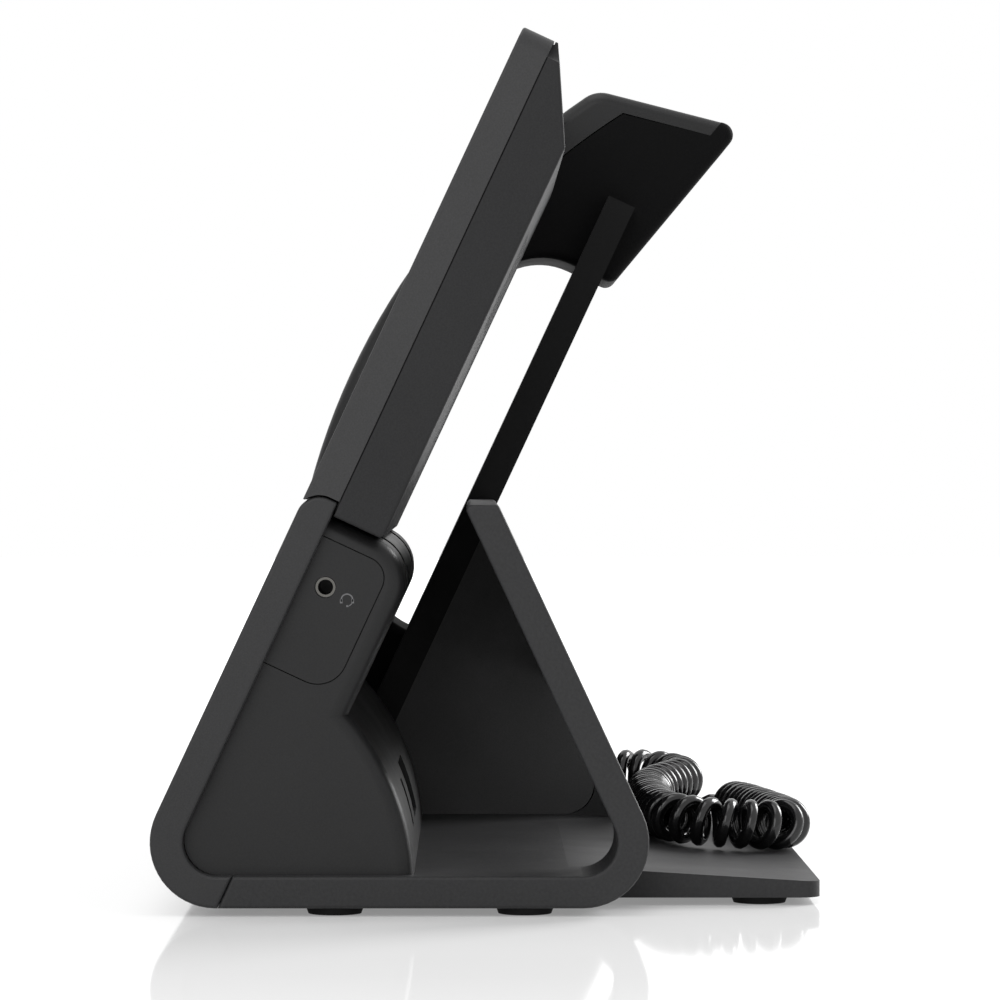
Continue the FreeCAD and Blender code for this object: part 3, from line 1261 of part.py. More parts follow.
def wound_cord():
    """The curly stretch of the cord and its two plain leads."""
    outside = spot_on_lean("jack_n", "handset_bottom - plug_nose - joint_gap")
    socket = FreeCAD.Vector(num(CRADLE_MIDDLE), *outside)
    lead = [socket] + vectors(HANDSET_ROUTE) + vectors(COIL_ROUTE[:1])
    start = vectors(COIL_ROUTE)
    tube("handset_lead", bent_path(lead, "handset_lead"))
    base = FreeCAD.Vector(num(CORD_SOCKET_X), num(f"{CORNER_Y} + {CORD_SOCKET_FACE} + plug_nose + joint_gap"),
                          num(f"foot_height + {CORD_SOCKET_MIDDLE}"))
    tube("base_lead", bent_path(start[-1:] + vectors(BASE_ROUTE) + [base], "base_lead"))
    line = curl_points(bent_path(start, "coil route"))
    least_gap(line, "cord_coil")
    plain = [index for index, station in enumerate(line) if station[1] == 0]
    first_plain = [index for index in plain if index < len(line) / 2][-1]
    last_plain = [index for index in plain if index > len(line) / 2][0]
    marks = [first_plain]
    for index in range(first_plain, last_plain):
        if line[index][0] - line[marks[-1]][0] >= math.pi / 2:
            marks.append(index)
    marks[-1] = last_plain
    ways = [(line[mark + 1][2] - line[mark - 1][2]).normalize() for mark in marks]
    edges = [edge_through([line[0][2], line[first_plain][2]])]
    for first, last, way, next_way in zip(marks, marks[1:], ways, ways[1:]):
        edges += biarc(line[first][2], way, line[last][2], next_way)
    edges.append(edge_through([line[last_plain][2], line[-1][2]]))
    tightest = min(edge.Curve.Radius for edge in edges if hasattr(edge.Curve, "Radius"))
    print(f"cord_coil: tightest arc {tightest:.2f} mm")
    tube("cord_coil", edges)


def spot_on_lean(n, s):
    """The place in y and z of a point of the front plane's frame."""
    return (num(f"{CORNER_Y} + ({n}) * cos(lean) + ({s}) * sin(lean)"),
            num(f"foot_height + ({s}) * cos(lean) - ({n}) * sin(lean)"))


for make in (stand_frame, rubber_feet, base_screws, front_fascia, keypad, pedestal, jack_panel, headset_jack,
             ports, loudspeaker, display_bezel, display_glass, display_inside, display_rear_cover, hinge,
             cradle_plate, cradle_walls, cord_socket, hook_sensor, handset_back_shell, handset_face_shell,
             handset_inside, plugs, wound_cord):
    make()
doc.recompute()

faults = [thing.Label for thing in doc.Objects if {"Invalid", "Error"} & set(thing.State)]
faults += [piece.Label for piece in pieces if piece.Shape.isNull() or not piece.Shape.isValid()]
if faults:
    raise RuntimeError("faulty: " + ", ".join(faults))
os.makedirs("parts", exist_ok=True)
for piece in pieces:
    piece.Shape.exportStep(f"parts/{piece.Label}.step")
print(f"{len(pieces)} pieces")
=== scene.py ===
import math

import bmesh
import bpy
from bpy.props import FloatProperty, FloatVectorProperty, IntProperty, PointerProperty
from mathutils import Matrix, Vector


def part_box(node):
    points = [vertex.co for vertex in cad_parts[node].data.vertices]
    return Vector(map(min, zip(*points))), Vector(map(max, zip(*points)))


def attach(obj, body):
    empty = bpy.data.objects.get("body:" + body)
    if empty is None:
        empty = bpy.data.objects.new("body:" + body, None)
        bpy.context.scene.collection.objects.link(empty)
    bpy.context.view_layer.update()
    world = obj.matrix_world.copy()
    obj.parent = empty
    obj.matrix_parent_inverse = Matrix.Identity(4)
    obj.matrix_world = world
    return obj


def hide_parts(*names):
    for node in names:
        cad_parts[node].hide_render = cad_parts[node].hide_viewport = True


bl_info = {
    "name": "Desk phone looks",
    "version": (1, 0, 0),
    "blender": (4, 5, 0),
    "location": "View3D > Sidebar > Desk phone",
    "description": "Finishes, prints and the curly cord of a desk phone with a tilting display",
    "category": "Object",
}

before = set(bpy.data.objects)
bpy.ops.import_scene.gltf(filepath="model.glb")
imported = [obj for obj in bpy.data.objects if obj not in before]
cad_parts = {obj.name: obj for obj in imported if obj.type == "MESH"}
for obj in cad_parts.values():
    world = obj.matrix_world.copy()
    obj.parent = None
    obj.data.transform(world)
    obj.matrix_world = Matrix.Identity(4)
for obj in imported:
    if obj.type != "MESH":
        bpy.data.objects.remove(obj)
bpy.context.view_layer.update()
MM = 0.001
LEAN = math.radians(25)
RIGHT = Vector((1, 0, 0))
BACK = Vector((0, 1, 0))
UP = Vector((0, 0, 1))
LEAN_UP = Vector((0, math.sin(LEAN), math.cos(LEAN)))
LEAN_OUT = Vector((0, -math.cos(LEAN), math.sin(LEAN)))

# The cord's route, counted from the middle of the cradle, the corner of the base and its underside
ROUTE_START = Vector((-0.095, -0.08887, 0.0018))
HANDSET_ROUTE = [(0.0, 0.0501, 0.0153), (-0.0002, 0.0542, 0.0110), (-0.0006, 0.0624, 0.0099),
                 (-0.0014, 0.0754, 0.0098), (-0.0008, 0.0864, 0.0107), (-0.0002, 0.0994, 0.0132)]
COIL_ROUTE = [(0.0, 0.1114, 0.0152), (0.0010, 0.1294, 0.0176), (0.0075, 0.1409, 0.0168),
              (0.0210, 0.1444, 0.0162), (0.0350, 0.1379, 0.0158), (0.0490, 0.1324, 0.0148),
              (0.0810, 0.1326, 0.0132), (0.1099, 0.1352, 0.0129), (0.1196, 0.1449, 0.0123),
              (0.1196, 0.1587, 0.0115), (0.1099, 0.1684, 0.0110), (0.0770, 0.1629, 0.0114),
              (0.0510, 0.1569, 0.0119), (0.0380, 0.1504, 0.0120)]
BASE_ROUTE = [(0.0320, 0.1464, 0.0090), (0.0260, 0.1394, 0.0076), (0.0220, 0.1304, 0.0093),
              (0.0190, 0.1194, 0.0106), (0.0180, 0.1064, 0.0106), (0.0180, 0.0934, 0.0114)]

# Prints of the dial keys; the spots are in millimetres from the middle of a key with letters
DIAL_PRINTS = {"key_1": ("1", ""), "key_2": ("2", "ABC"), "key_3": ("3", "DEF"), "key_4": ("4", "GHI"),
               "key_5": ("5", "JKL"), "key_6": ("6", "MNO"), "key_7": ("7", "PQRS"), "key_8": ("8", "TUV"),
               "key_9": ("9", "WXYZ"), "key_star": ("*", ""), "key_0": ("0", "+"), "key_hash": ("#", "")}
DIGIT_SPOT = (-3.0, 0)
LETTER_SPOT = (3.4, -0.3)

# Headset signs: the band's radius and the width of the lines in millimetres, and the place on the jack panel
KEY_SIGN_RADIUS = 1.8
SIGN_RADIUS = 1.35
SIGN_STROKE = 0.32
SIGN_Y = -0.0337
SIGN_Z = 0.0743

# The sockets, in millimetres; a wire's bend is in from the mouth and down from the top
RING_DEPTH = 0.6
WIRE_COUNT = 8
WIRE_PITCH = 1.02
WIRE_RADIUS = 0.17
WIRE_BENDS = [(4, 3.2), (9, 5.4), (10, 3.0)]

# The idle screen, in millimetres from the middle of the glass; a bar has a place, a width and a height
SCREEN_SIZE = (158, 92)
SCREEN_CORNER = 2
CLOCK_SPOT = (-34, 16)
CLOCK_HEIGHT = 26
CLOCK_BAR = (-34, -2, 44, 1.7)
LIST_HEIGHTS = (33, 16, -1, -18)
LIST_BARS = ((50, 1.8, 32, 1.7), (43, -2.2, 18, 1.2))
DOT_X = 26
DOT_RADIUS = 4.2
TAB_SPOTS = ((-58.5, -37), (-19.5, -37), (19.5, -37), (58.5, -37))
TAB_SIZE = (35, 11)
TAB_CORNER = 2.5
TAB_BAR = (16, 1.7)

# Moulded finishes: roughness, size and depth of the grain in millimetres, level of the highlights
MOULDED = {
    "stand_grain": (0.5, 0.8, 0.1, 0.25),
    "fascia_grain": (0.45, 0.4, 0.03, 0.25),
    "foot_rubber": (0.75, 1.2, 0.1, 0.2),
    "pedestal_satin": (0.42, 0.4, 0.03, 0.25),
    "socket_plastic": (0.3, 0.5, 0.02, 0.5),
    "solder_mask": (0.3, 2.0, 0.02, 0.5),
    "speaker_frame": (0.5, 0.8, 0.04, 0.5),
    "key_matt": (0.45, 0.5, 0.03, 0.5),
    "mat_silicone": (0.6, 2.0, 0.04, 0.5),
    "bezel_matt": (0.45, 0.4, 0.03, 0.25),
    "cover_satin": (0.58, 0.4, 0.02, 0.15),
    "screen_module": (0.3, 1.0, 0.01, 0.5),
    # The next two finishes carry painted shade on the cradle's back and painted light on the inner wall
    "cradle_painted_shade": (0.45, 0.4, 0.03, 0.12),
    "inner_wall_painted_light": (0.5, 0.4, 0.03, 0.45),
    "outer_wall_matt": (0.5, 0.4, 0.03, 0.25),
    "chip_black": (0.4, 0.5, 0.01, 0.5),
    # These two handset finishes carry painted shade in their colours
    "handset_satin_painted_shade": (0.4, 0.4, 0.02, 0.25),
    "handset_face_painted_shade": (0.6, 0.4, 0.03, 0.03),
    "plug_plastic": (0.2, 1.0, 0.01, 0.5),
}

# Nearly all values of a noise lie between these
NOISE_LOW = 0.3
NOISE_HIGH = 0.7

# The floor lies just under the feet; away from the phone its glow grows over a reach in metres
FLOOR_REACH = 4
FLOOR_GAP = 0.0001
GLOW = (0.24, 0.7)
GLOW_REACH = (0.25, 1.0)

# Lamps: place and width in metres, power in watts
LAMPS = {"lamp_right": ((1.4, -0.45, 0.65), 0.9, 5), "lamp_top": ((0.2, -0.2, 1.4), 1.0, 5),
         "lamp_rear": ((-0.7, 0.95, 0.6), 0.6, 14)}
LAMP_AIM = Vector((0, 0, 0.09))


# Settings

def tone(label, default, note):
    """A colour that a user may change."""
    return FloatVectorProperty(name=label, description=note, default=default, subtype="COLOR", min=0, max=1)


def length(label, default, note):
    """A length that a user may change."""
    return FloatProperty(name=label, description=note, default=default, unit="LENGTH", min=0)


class PhoneTones(bpy.types.PropertyGroup):
    """Colours of the phone's finishes."""
    fascia: tone("Fascia", (0.034, 0.034, 0.035), "Fine grained plastic of the fascia")
    stand: tone("Stand", (0.030, 0.030, 0.031), "Grained plastic of the stand and the cradle's outer wall")
    bezel: tone("Bezel", (0.044, 0.044, 0.045), "Matt plastic round the screen")
    cover: tone("Cover", (0.029, 0.029, 0.030), "Satin plastic behind the screen")
    pedestal: tone("Pedestal", (0.015, 0.015, 0.0155), "Satin plastic of the pedestal")
    # Painted shade: the cradle's back is one moulding with the inner wall, but is given a much darker colour
    # for the shadow it lies in
    cradle: tone("Cradle", (0.007, 0.007, 0.0072), "Matt plastic of the cradle's back")
    # Painted light: lighter than the stand's plastic that the wall shares, to make up for the shade the
    # display and pedestal cast on it
    wall: tone("Inner wall", (0.052, 0.052, 0.053), "Matt plastic of the cradle's inner wall")
    # Painted shade: both handset colours are darker than the stand's plastic for the shadow the handset lies
    # in behind the display, the face darker still
    handset: tone("Handset", (0.016, 0.016, 0.0165), "Satin plastic of the handset's back")
    face: tone("Handset face", (0.009, 0.009, 0.0092), "Matt plastic of the handset's face")
    caps: tone("Keys", (0.020, 0.020, 0.021), "Matt key caps")
    mat: tone("Key mat", (0.25, 0.25, 0.26), "Silicone under the keys")
    print_grey: tone("Print", (0.42, 0.43, 0.44), "Print on the keys")
    sign: tone("Sign", (0.16, 0.16, 0.165), "Sign beside the headset jack")
    ring: tone("Jack ring", (0.11, 0.107, 0.1), "Plated ring of the headset jack")
    bore: tone("Jack bore", (0.003, 0.003, 0.003), "Inside of the headset jack")
    socket: tone("Sockets", (0.02, 0.02, 0.021), "Plastic of the other sockets")
    speaker: tone("Speakers", (0.02, 0.02, 0.02), "Loudspeaker, receiver and microphone")
    chip: tone("Sensor", (0.012, 0.012, 0.012), "Sensor in the cradle")
    plug: tone("Plugs", (0.02, 0.02, 0.02), "Plugs of the cord")
    cord: tone("Cord", (0.006, 0.006, 0.0065), "Glossy cord")
    rubber: tone("Rubber", (0.009, 0.009, 0.009), "Feet")
    board: tone("Board", (0.008, 0.075, 0.035), "Solder mask of the circuit boards")
    steel: tone("Steel", (0.42, 0.42, 0.43), "Screws")
    hinge: tone("Hinge", (0.05, 0.05, 0.052), "Dark steel of the hinge's arms and pins")
    weight: tone("Weight", (0.3, 0.3, 0.31), "Balance weight and magnet")
    gold: tone("Gold", (0.72, 0.50, 0.18), "Plated contacts")
    glass: tone("Glass", (0.004, 0.004, 0.005), "Cover glass of the screen")
    module: tone("Screen module", (0.01, 0.01, 0.012), "Panel behind the cover glass")
    screen: tone("Screen", (0.012, 0.020, 0.030), "Ground of the idle screen")
    tabs: tone("Tabs", (0.035, 0.055, 0.075), "Soft keys of the idle screen")
    marks: tone("Marks", (0.62, 0.66, 0.70), "Time and lines of the idle screen")


class CordSizes(bpy.types.PropertyGroup):
    """Sizes of the curly cord."""
    strand: length("Strand", 3.4 * MM, "Diameter of the cord itself")
    coil: length("Coil", 13.0 * MM, "Outside diameter of the curls")
    pitch: length("Pitch", 3.8 * MM, "Distance from one curl to the next")
    ramp: length("Ramp", 14 * MM, "Length over which the curls grow at each end")
    opening: FloatProperty(name="Opening", description="How much wider the end curls are", default=2.2, min=0)
    points: IntProperty(name="Points", description="Control points in one curl", default=12, min=6)


class PrintSizes(bpy.types.PropertyGroup):
    """Sizes of the prints."""
    digit: length("Digit", 5.2 * MM, "Height of the digits")
    letter: length("Letter", 2.5 * MM, "Height of the letters")
    stroke: length("Stroke", 0.42 * MM, "Width of a key sign's lines")
    film: length("Film", 0.04 * MM, "Thickness of the print")


class StageSettings(bpy.types.PropertyGroup):
    """Camera, floor and light."""
    lens: FloatProperty(name="Lens", description="Focal length in millimetres", default=159.9, min=1)
    floor: tone("Floor", (0.86, 0.86, 0.86), "Pale floor")
    room: FloatProperty(name="Room", description="Level of the light from all round", default=0.5, min=0)


# Meshes and placements

def standing_on(spot, right, up):
    """A placement whose x runs along right, y along up and z out of the surface."""
    return Matrix.Translation(spot) @ Matrix((right, up, right.cross(up))).transposed().to_4x4()


def reach_of(node, way):
    """The least and the greatest extent of a node along a direction."""
    values = [vertex.co.dot(way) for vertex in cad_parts[node].data.vertices]
    return min(values), max(values)


def middle_of(node):
    """The middle of a node, measured along the leaning front."""
    ways = (RIGHT, LEAN_UP, LEAN_OUT)
    return sum((way * sum(reach_of(node, way)) / 2 for way in ways), Vector())


def face_of(node):
    """The middle of a node's face on the leaning front."""
    low, high = reach_of(node, LEAN_OUT)
    return middle_of(node) + LEAN_OUT * (high - low) / 2


def new_piece(name, data, body, finish, place=None):
    """Links a new object, places it, gives it its finish and lets it ride on a body."""
    piece = bpy.data.objects.new(name, data)
    bpy.context.scene.collection.objects.link(piece)
    if place is not None:
        piece.matrix_world = place
    data.materials.append(finish)
    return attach(piece, body)


def mesh_from(name, shape):
    """A mesh made of a bmesh, which is freed."""
    bmesh.ops.recalc_face_normals(shape, faces=shape.faces[:])
    mesh = bpy.data.meshes.new(name)
    shape.to_mesh(mesh)
    shape.free()
    return mesh


def add_sheet(shape, outline, film):
    """Adds a flat form of the given thickness, its outline in millimetres."""
    corners = [shape.verts.new((x * MM, y * MM, 0)) for x, y in outline]
    top = bmesh.ops.extrude_face_region(shape, geom=[shape.faces.new(corners)])["geom"]
    raised = [part for part in top if isinstance(part, bmesh.types.BMVert)]
    bmesh.ops.translate(shape, vec=(0, 0, film), verts=raised)


def sheets(outlines, film):
    """A bmesh with one flat form for each outline."""
    shape = bmesh.new()
    for outline in outlines:
        add_sheet(shape, outline, film)
    return shape


def add_words(shape, words, height, x, y, film):
    """Adds lettering about a point given in millimetres."""
    text = bpy.data.curves.new("words", "FONT")
    text.body = words
    text.size = height
    text.extrude = film / 2
    text.align_x = "CENTER"
    text.align_y = "CENTER"
    text.resolution_u = 4
    holder = bpy.data.objects.new("words", text)
    mesh = bpy.data.meshes.new_from_object(holder)
    mesh.transform(Matrix.Translation((x * MM, y * MM, film / 2)))
    shape.from_mesh(mesh)
    bpy.data.objects.remove(holder)
    bpy.data.curves.remove(text)
    bpy.data.meshes.remove(mesh)


def arc(x, y, radius, start, end, count=14):
    """Points of an arc in degrees, anticlockwise."""
    angles = [math.radians(start + (end - start) * step / count) for step in range(count + 1)]
    return [(x + radius * math.cos(angle), y + radius * math.sin(angle)) for angle in angles]


def ribbon(points, width):
    """The outline of a line of that width along open points."""
    left, right = [], []
    for index, (x, y) in enumerate(points):
        before, after = points[max(index - 1, 0)], points[min(index + 1, len(points) - 1)]
        run = math.hypot(after[0] - before[0], after[1] - before[1])
        aside = (-(after[1] - before[1]) / run * width / 2, (after[0] - before[0]) / run * width / 2)
        left.append((x + aside[0], y + aside[1]))
        right.append((x - aside[0], y - aside[1]))
    return left + right[::-1]


def box_outline(x, y, width, height):
    """The corners of a rectangle about a point."""
    return [(x - width / 2, y - height / 2), (x + width / 2, y - height / 2),
            (x + width / 2, y + height / 2), (x - width / 2, y + height / 2)]


def rounded_box(x, y, width, height, radius):
    """A rectangle about a point with round corners."""
    outline = []
    for turn, (side, end) in enumerate(((1, 1), (-1, 1), (-1, -1), (1, -1))):
        centre = (x + side * (width / 2 - radius), y + end * (height / 2 - radius))
        outline += arc(*centre, radius, 90 * turn, 90 * turn + 90, 6)
    return outline


# Signs, in millimetres about their middle

def headset_outlines(size, stroke):
    """Outlines of a headset: band, two pads, a boom and its tip."""
    band = ribbon(arc(0, 0, size, 200, -20, 24), stroke)
    pads = [ribbon([(side * size, -0.62 * size), (side * size, 0.12 * size)], stroke * 1.9)
            for side in (-1, 1)]
    boom = ribbon(arc(0, -0.1 * size, size, -28, -78, 10), stroke * 0.8)
    tip = ribbon([(-0.12 * size, -1.1 * size), (0.3 * size, -1.1 * size)], stroke * 1.4)
    return [band, *pads, boom, tip]


def function_signs(stroke):
    """Outlines of the signs on the keys beside the dial keys, by key."""
    envelope = [ribbon([(-3, 2), (3, 2)], stroke), ribbon([(3, 2), (3, -2)], stroke),
                ribbon([(3, -2), (-3, -2)], stroke), ribbon([(-3, -2), (-3, 2)], stroke),
                ribbon([(-3, 2), (0, -0.4), (3, 2)], stroke)]
    hold = [box_outline(-0.9, 0, 0.9, 4), box_outline(0.9, 0, 0.9, 4)]
    transfer = [ribbon([(-3, 0), (2, 0)], stroke), [(1.6, 1.4), (3.2, 0), (1.6, -1.4)],
                ribbon(arc(-3, 0, 1.1, 90, 270), stroke)]
    people = []
    for x in (-2.6, 0, 2.6):
        people.append(arc(x, 1.1, 0.8, 0, 345, 15))
        people.append([(x - 1.1, -1.7)] + arc(x, -1.2, 1.1, 180, 0, 12) + [(x + 1.1, -1.7)])
    speaker = [[(-2.4, -0.8), (-1.2, -0.8), (0.4, -2), (0.4, 2), (-1.2, 0.8), (-2.4, 0.8)],
               ribbon(arc(0.4, 0, 1.5, -45, 45), stroke), ribbon(arc(0.4, 0, 2.6, -45, 45), stroke)]
    mute = [arc(0, 0.9, 0.9, 0, 180) + arc(0, -0.3, 0.9, 180, 360),
            ribbon(arc(0, -0.2, 1.7, 190, 350), stroke), ribbon([(0, -1.9), (0, -2.7)], stroke),
            ribbon([(-2.2, -2.4), (2.2, 2.4)], stroke)]
    volume = [box_outline(-12, 0, 3, 0.55), box_outline(12, 0, 3, 0.55), box_outline(12, 0, 0.55, 3),
              ribbon([(-5, -0.6), (5, -0.6), (5, 1.2), (-5, -0.6)], stroke * 0.8)]
    return {"key_message": envelope, "key_hold": hold, "key_transfer": transfer, "key_conference": people,
            "key_headset": headset_outlines(KEY_SIGN_RADIUS, stroke), "key_speaker": speaker,
            "key_mute": mute, "volume_rocker": volume}


# Finishes

def shade(colour, factor):
    """A colour made darker or lighter by a factor."""
    return tuple(part * factor for part in colour)


def new_finish(name):
    """A material with a shader, and its object coordinates in metres."""
    finish = bpy.data.materials.new(name)
    finish.use_nodes = True
    tree = finish.node_tree
    shader = tree.nodes["Principled BSDF"]
    place = tree.nodes.new("ShaderNodeTexCoord").outputs["Object"]
    return finish, tree, shader, place


def add_noise(tree, place, size, detail=3.0, rough=0.55):
    """Noise whose largest forms are about that size in millimetres."""
    noise = tree.nodes.new("ShaderNodeTexNoise")
    noise.inputs["Scale"].default_value = 1 / (size * MM)
    noise.inputs["Detail"].default_value = detail
    noise.inputs["Roughness"].default_value = rough
    tree.links.new(place, noise.inputs["Vector"])
    return noise.outputs["Fac"]


def add_span(tree, value, low, high, start=NOISE_LOW, end=NOISE_HIGH):
    """A value that goes from low to high while another goes from start to end."""
    span = tree.nodes.new("ShaderNodeMapRange")
    span.inputs["From Min"].default_value = start
    span.inputs["From Max"].default_value = end
    span.inputs["To Min"].default_value = low
    span.inputs["To Max"].default_value = high
    tree.links.new(value, span.inputs["Value"])
    return span.outputs["Result"]


def add_mix(tree, value, dark, light):
    """A colour between two, by the value of a noise."""
    ramp = tree.nodes.new("ShaderNodeValToRGB")
    ramp.color_ramp.elements[0].position = NOISE_LOW
    ramp.color_ramp.elements[0].color = (*dark, 1)
    ramp.color_ramp.elements[1].position = NOISE_HIGH
    ramp.color_ramp.elements[1].color = (*light, 1)
    tree.links.new(value, ramp.inputs["Fac"])
    return ramp.outputs["Color"]


def add_math(tree, operation, first, second):
    """What an operation makes of two values."""
    node = tree.nodes.new("ShaderNodeMath")
    node.operation = operation
    tree.links.new(first, node.inputs[0])
    tree.links.new(second, node.inputs[1])
    return node.outputs["Value"]


def add_bump(tree, shader, height, depth, strength):
    """Bump of a height field on a shader, its depth in millimetres."""
    bump = tree.nodes.new("ShaderNodeBump")
    bump.inputs["Distance"].default_value = depth * MM
    bump.inputs["Strength"].default_value = strength
    tree.links.new(height, bump.inputs["Height"])
    tree.links.new(bump.outputs["Normal"], shader.inputs["Normal"])


def moulded(name, colour):
    """Moulded plastic with a fine grain, cloudy gloss and a slight change of tone."""
    rough, grain, depth, level = MOULDED[name]
    finish, tree, shader, place = new_finish(name)
    shader.inputs["Specular IOR Level"].default_value = level
    fine = add_noise(tree, place, size=grain)
    mix = add_mix(tree, fine, shade(colour, 0.88), shade(colour, 1.12))
    tree.links.new(mix, shader.inputs["Base Color"])
    cloud = add_noise(tree, place, size=30, detail=4.0)
    tree.links.new(add_span(tree, cloud, rough - 0.05, rough + 0.05), shader.inputs["Roughness"])
    add_bump(tree, shader, fine, depth, strength=0.5)
    return finish


def metal(name, colour, rough, stretch=(1, 1, 1)):
    """Metal with fine drawn lines along one direction."""
    finish, tree, shader, place = new_finish(name)
    shader.inputs["Metallic"].default_value = 1
    scale = tree.nodes.new("ShaderNodeMapping")
    scale.inputs["Scale"].default_value = stretch
    tree.links.new(place, scale.inputs["Vector"])
    lines = add_noise(tree, scale.outputs["Vector"], size=0.6, detail=2.0)
    tree.links.new(add_mix(tree, lines, shade(colour, 0.85), colour), shader.inputs["Base Color"])
    tree.links.new(add_span(tree, lines, rough - 0.06, rough + 0.08), shader.inputs["Roughness"])
    return finish


def printed(name, colour):
    """Matt print with a slightly uneven film."""
    finish, tree, shader, place = new_finish(name)
    shader.inputs["Roughness"].default_value = 0.55
    cloud = add_noise(tree, place, size=0.8)
    tree.links.new(add_mix(tree, cloud, shade(colour, 0.9), colour), shader.inputs["Base Color"])
    return finish


def screen_glass(name, colour):
    """Black cover glass with a faint film of handling."""
    finish, tree, shader, place = new_finish(name)
    shader.inputs["Base Color"].default_value = (*colour, 1)
    shader.inputs["IOR"].default_value = 1.52
    cloud = add_noise(tree, place, size=25, detail=5.0, rough=0.65)
    tree.links.new(add_span(tree, cloud, 0.05, 0.12), shader.inputs["Roughness"])
    return finish


def screen_film(name, colour):
    """Smooth film of the lit screen under a faint haze."""
    finish, tree, shader, place = new_finish(name)
    shader.inputs["Specular IOR Level"].default_value = 0.2
    haze = add_noise(tree, place, size=12)
    tree.links.new(add_mix(tree, haze, shade(colour, 0.93), colour), shader.inputs["Base Color"])
    tree.links.new(add_span(tree, haze, 0.1, 0.18), shader.inputs["Roughness"])
    return finish


def cord_gloss(name, colour):
    """Glossy cord jacket with slight waves along it."""
    finish, tree, shader, place = new_finish(name)
    waves = add_noise(tree, place, size=3.5, detail=2.0)
    tree.links.new(add_mix(tree, waves, shade(colour, 0.8), colour), shader.inputs["Base Color"])
    tree.links.new(add_span(tree, waves, 0.12, 0.2), shader.inputs["Roughness"])
    add_bump(tree, shader, waves, depth=0.08, strength=0.25)
    return finish


def jack_finish(name, ring_colour, bore_colour, mouth_x):
    """Plated ring at the mouth of a socket and a black bore behind it."""
    finish, tree, shader, place = new_finish(name)
    axes = tree.nodes.new("ShaderNodeSeparateXYZ")
    tree.links.new(place, axes.inputs["Vector"])
    ring = tree.nodes.new("ShaderNodeMath")
    ring.operation = "GREATER_THAN"
    ring.inputs[1].default_value = mouth_x
    tree.links.new(axes.outputs["X"], ring.inputs[0])
    tint = tree.nodes.new("ShaderNodeMix")
    tint.data_type = "RGBA"
    tint.inputs["A"].default_value = (*bore_colour, 1)
    tint.inputs["B"].default_value = (*ring_colour, 1)
    tree.links.new(ring.outputs["Value"], tint.inputs["Factor"])
    tree.links.new(tint.outputs["Result"], shader.inputs["Base Color"])
    tree.links.new(ring.outputs["Value"], shader.inputs["Metallic"])
    scratch = add_noise(tree, place, size=0.4, detail=2.0)
    tree.links.new(add_span(tree, scratch, 0.14, 0.24), shader.inputs["Roughness"])
    return finish


def dress(finish, *nodes):
    """Gives CAD nodes a finish."""
    for node in nodes:
        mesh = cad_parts[node].data
        mesh.materials.clear()
        mesh.materials.append(finish)


# The cord's line

def route(points):
    """A stretch of the cord's route in the frame."""
    return [ROUTE_START + Vector(point) for point in points]


def nurbs_through(name, points):
    """A smooth curve with the given control points."""
    curve = bpy.data.curves.new(name, "CURVE")
    curve.dimensions = "3D"
    line = curve.splines.new("NURBS")
    line.points.add(len(points) - 1)
    for spot, point in zip(line.points, points):
        spot.co = (*point, 1)
    line.order_u = 3
    line.use_endpoint_u = True
    return curve


def line_of(points):
    """Points read from the smooth curve of a route."""
    curve = nurbs_through("route", points)
    curve.resolution_u = 200
    holder = bpy.data.objects.new("route", curve)
    mesh = bpy.data.meshes.new_from_object(holder)
    line = [vertex.co.copy() for vertex in mesh.vertices]
    bpy.data.objects.remove(holder)
    bpy.data.curves.remove(curve)
    bpy.data.meshes.remove(mesh)
    return line


def curls(line, sizes):
    """Control points of a cord that winds about a line; the curls open towards its ends and in its bends."""
    inset = math.cos(math.pi / sizes.points)
    reach = (sizes.coil - sizes.strand) / 2
    total = sum((after - before).length for before, after in zip(line, line[1:]))
    along, turn = 0.0, 0.0
    step = 2 * math.pi / sizes.points
    wound = []
    for before, here, after in zip(line, line[1:], line[2:]):
        run = (here - before).length
        ahead = (after - before).normalized()
        bend = (here - before).angle(after - here) / run
        along += run
        grown = min(max((min(along, total - along) - sizes.strand) / sizes.ramp, 0), 1)
        swing = reach * grown ** 2 * (3 - 2 * grown)
        pitch = sizes.pitch * (1 + sizes.opening * (1 - swing / reach))
        turn += 2 * math.pi * run / pitch * (1 - reach * bend)
        if turn > len(wound) * step:
            aside = ahead.cross(UP).normalized()
            above = aside.cross(ahead)
            angle = len(wound) * step
            wound.append(here + (aside * math.cos(angle) + above * math.sin(angle)) * swing / inset)
    return wound


# Operators

class PHONE_OT_camera(bpy.types.Operator):
    """Camera on the user's right, level with the middle of the phone"""
    bl_idname = "phone.camera"
    bl_label = "Camera"

    def execute(self, context):
        view = bpy.data.cameras.new("phone_camera")
        view.lens = context.scene.phone_stage.lens
        view.sensor_width = 36
        view.shift_x = 0.03
        view.shift_y = -0.032
        view.clip_start = 0.05
        camera = bpy.data.objects.new("phone_camera", view)
        camera.location = (1.1705, -0.00467, 0.1054)
        camera.rotation_euler = (math.pi / 2, 0, math.pi / 2)
        context.scene.collection.objects.link(camera)
        context.scene.camera = camera
        return {"FINISHED"}


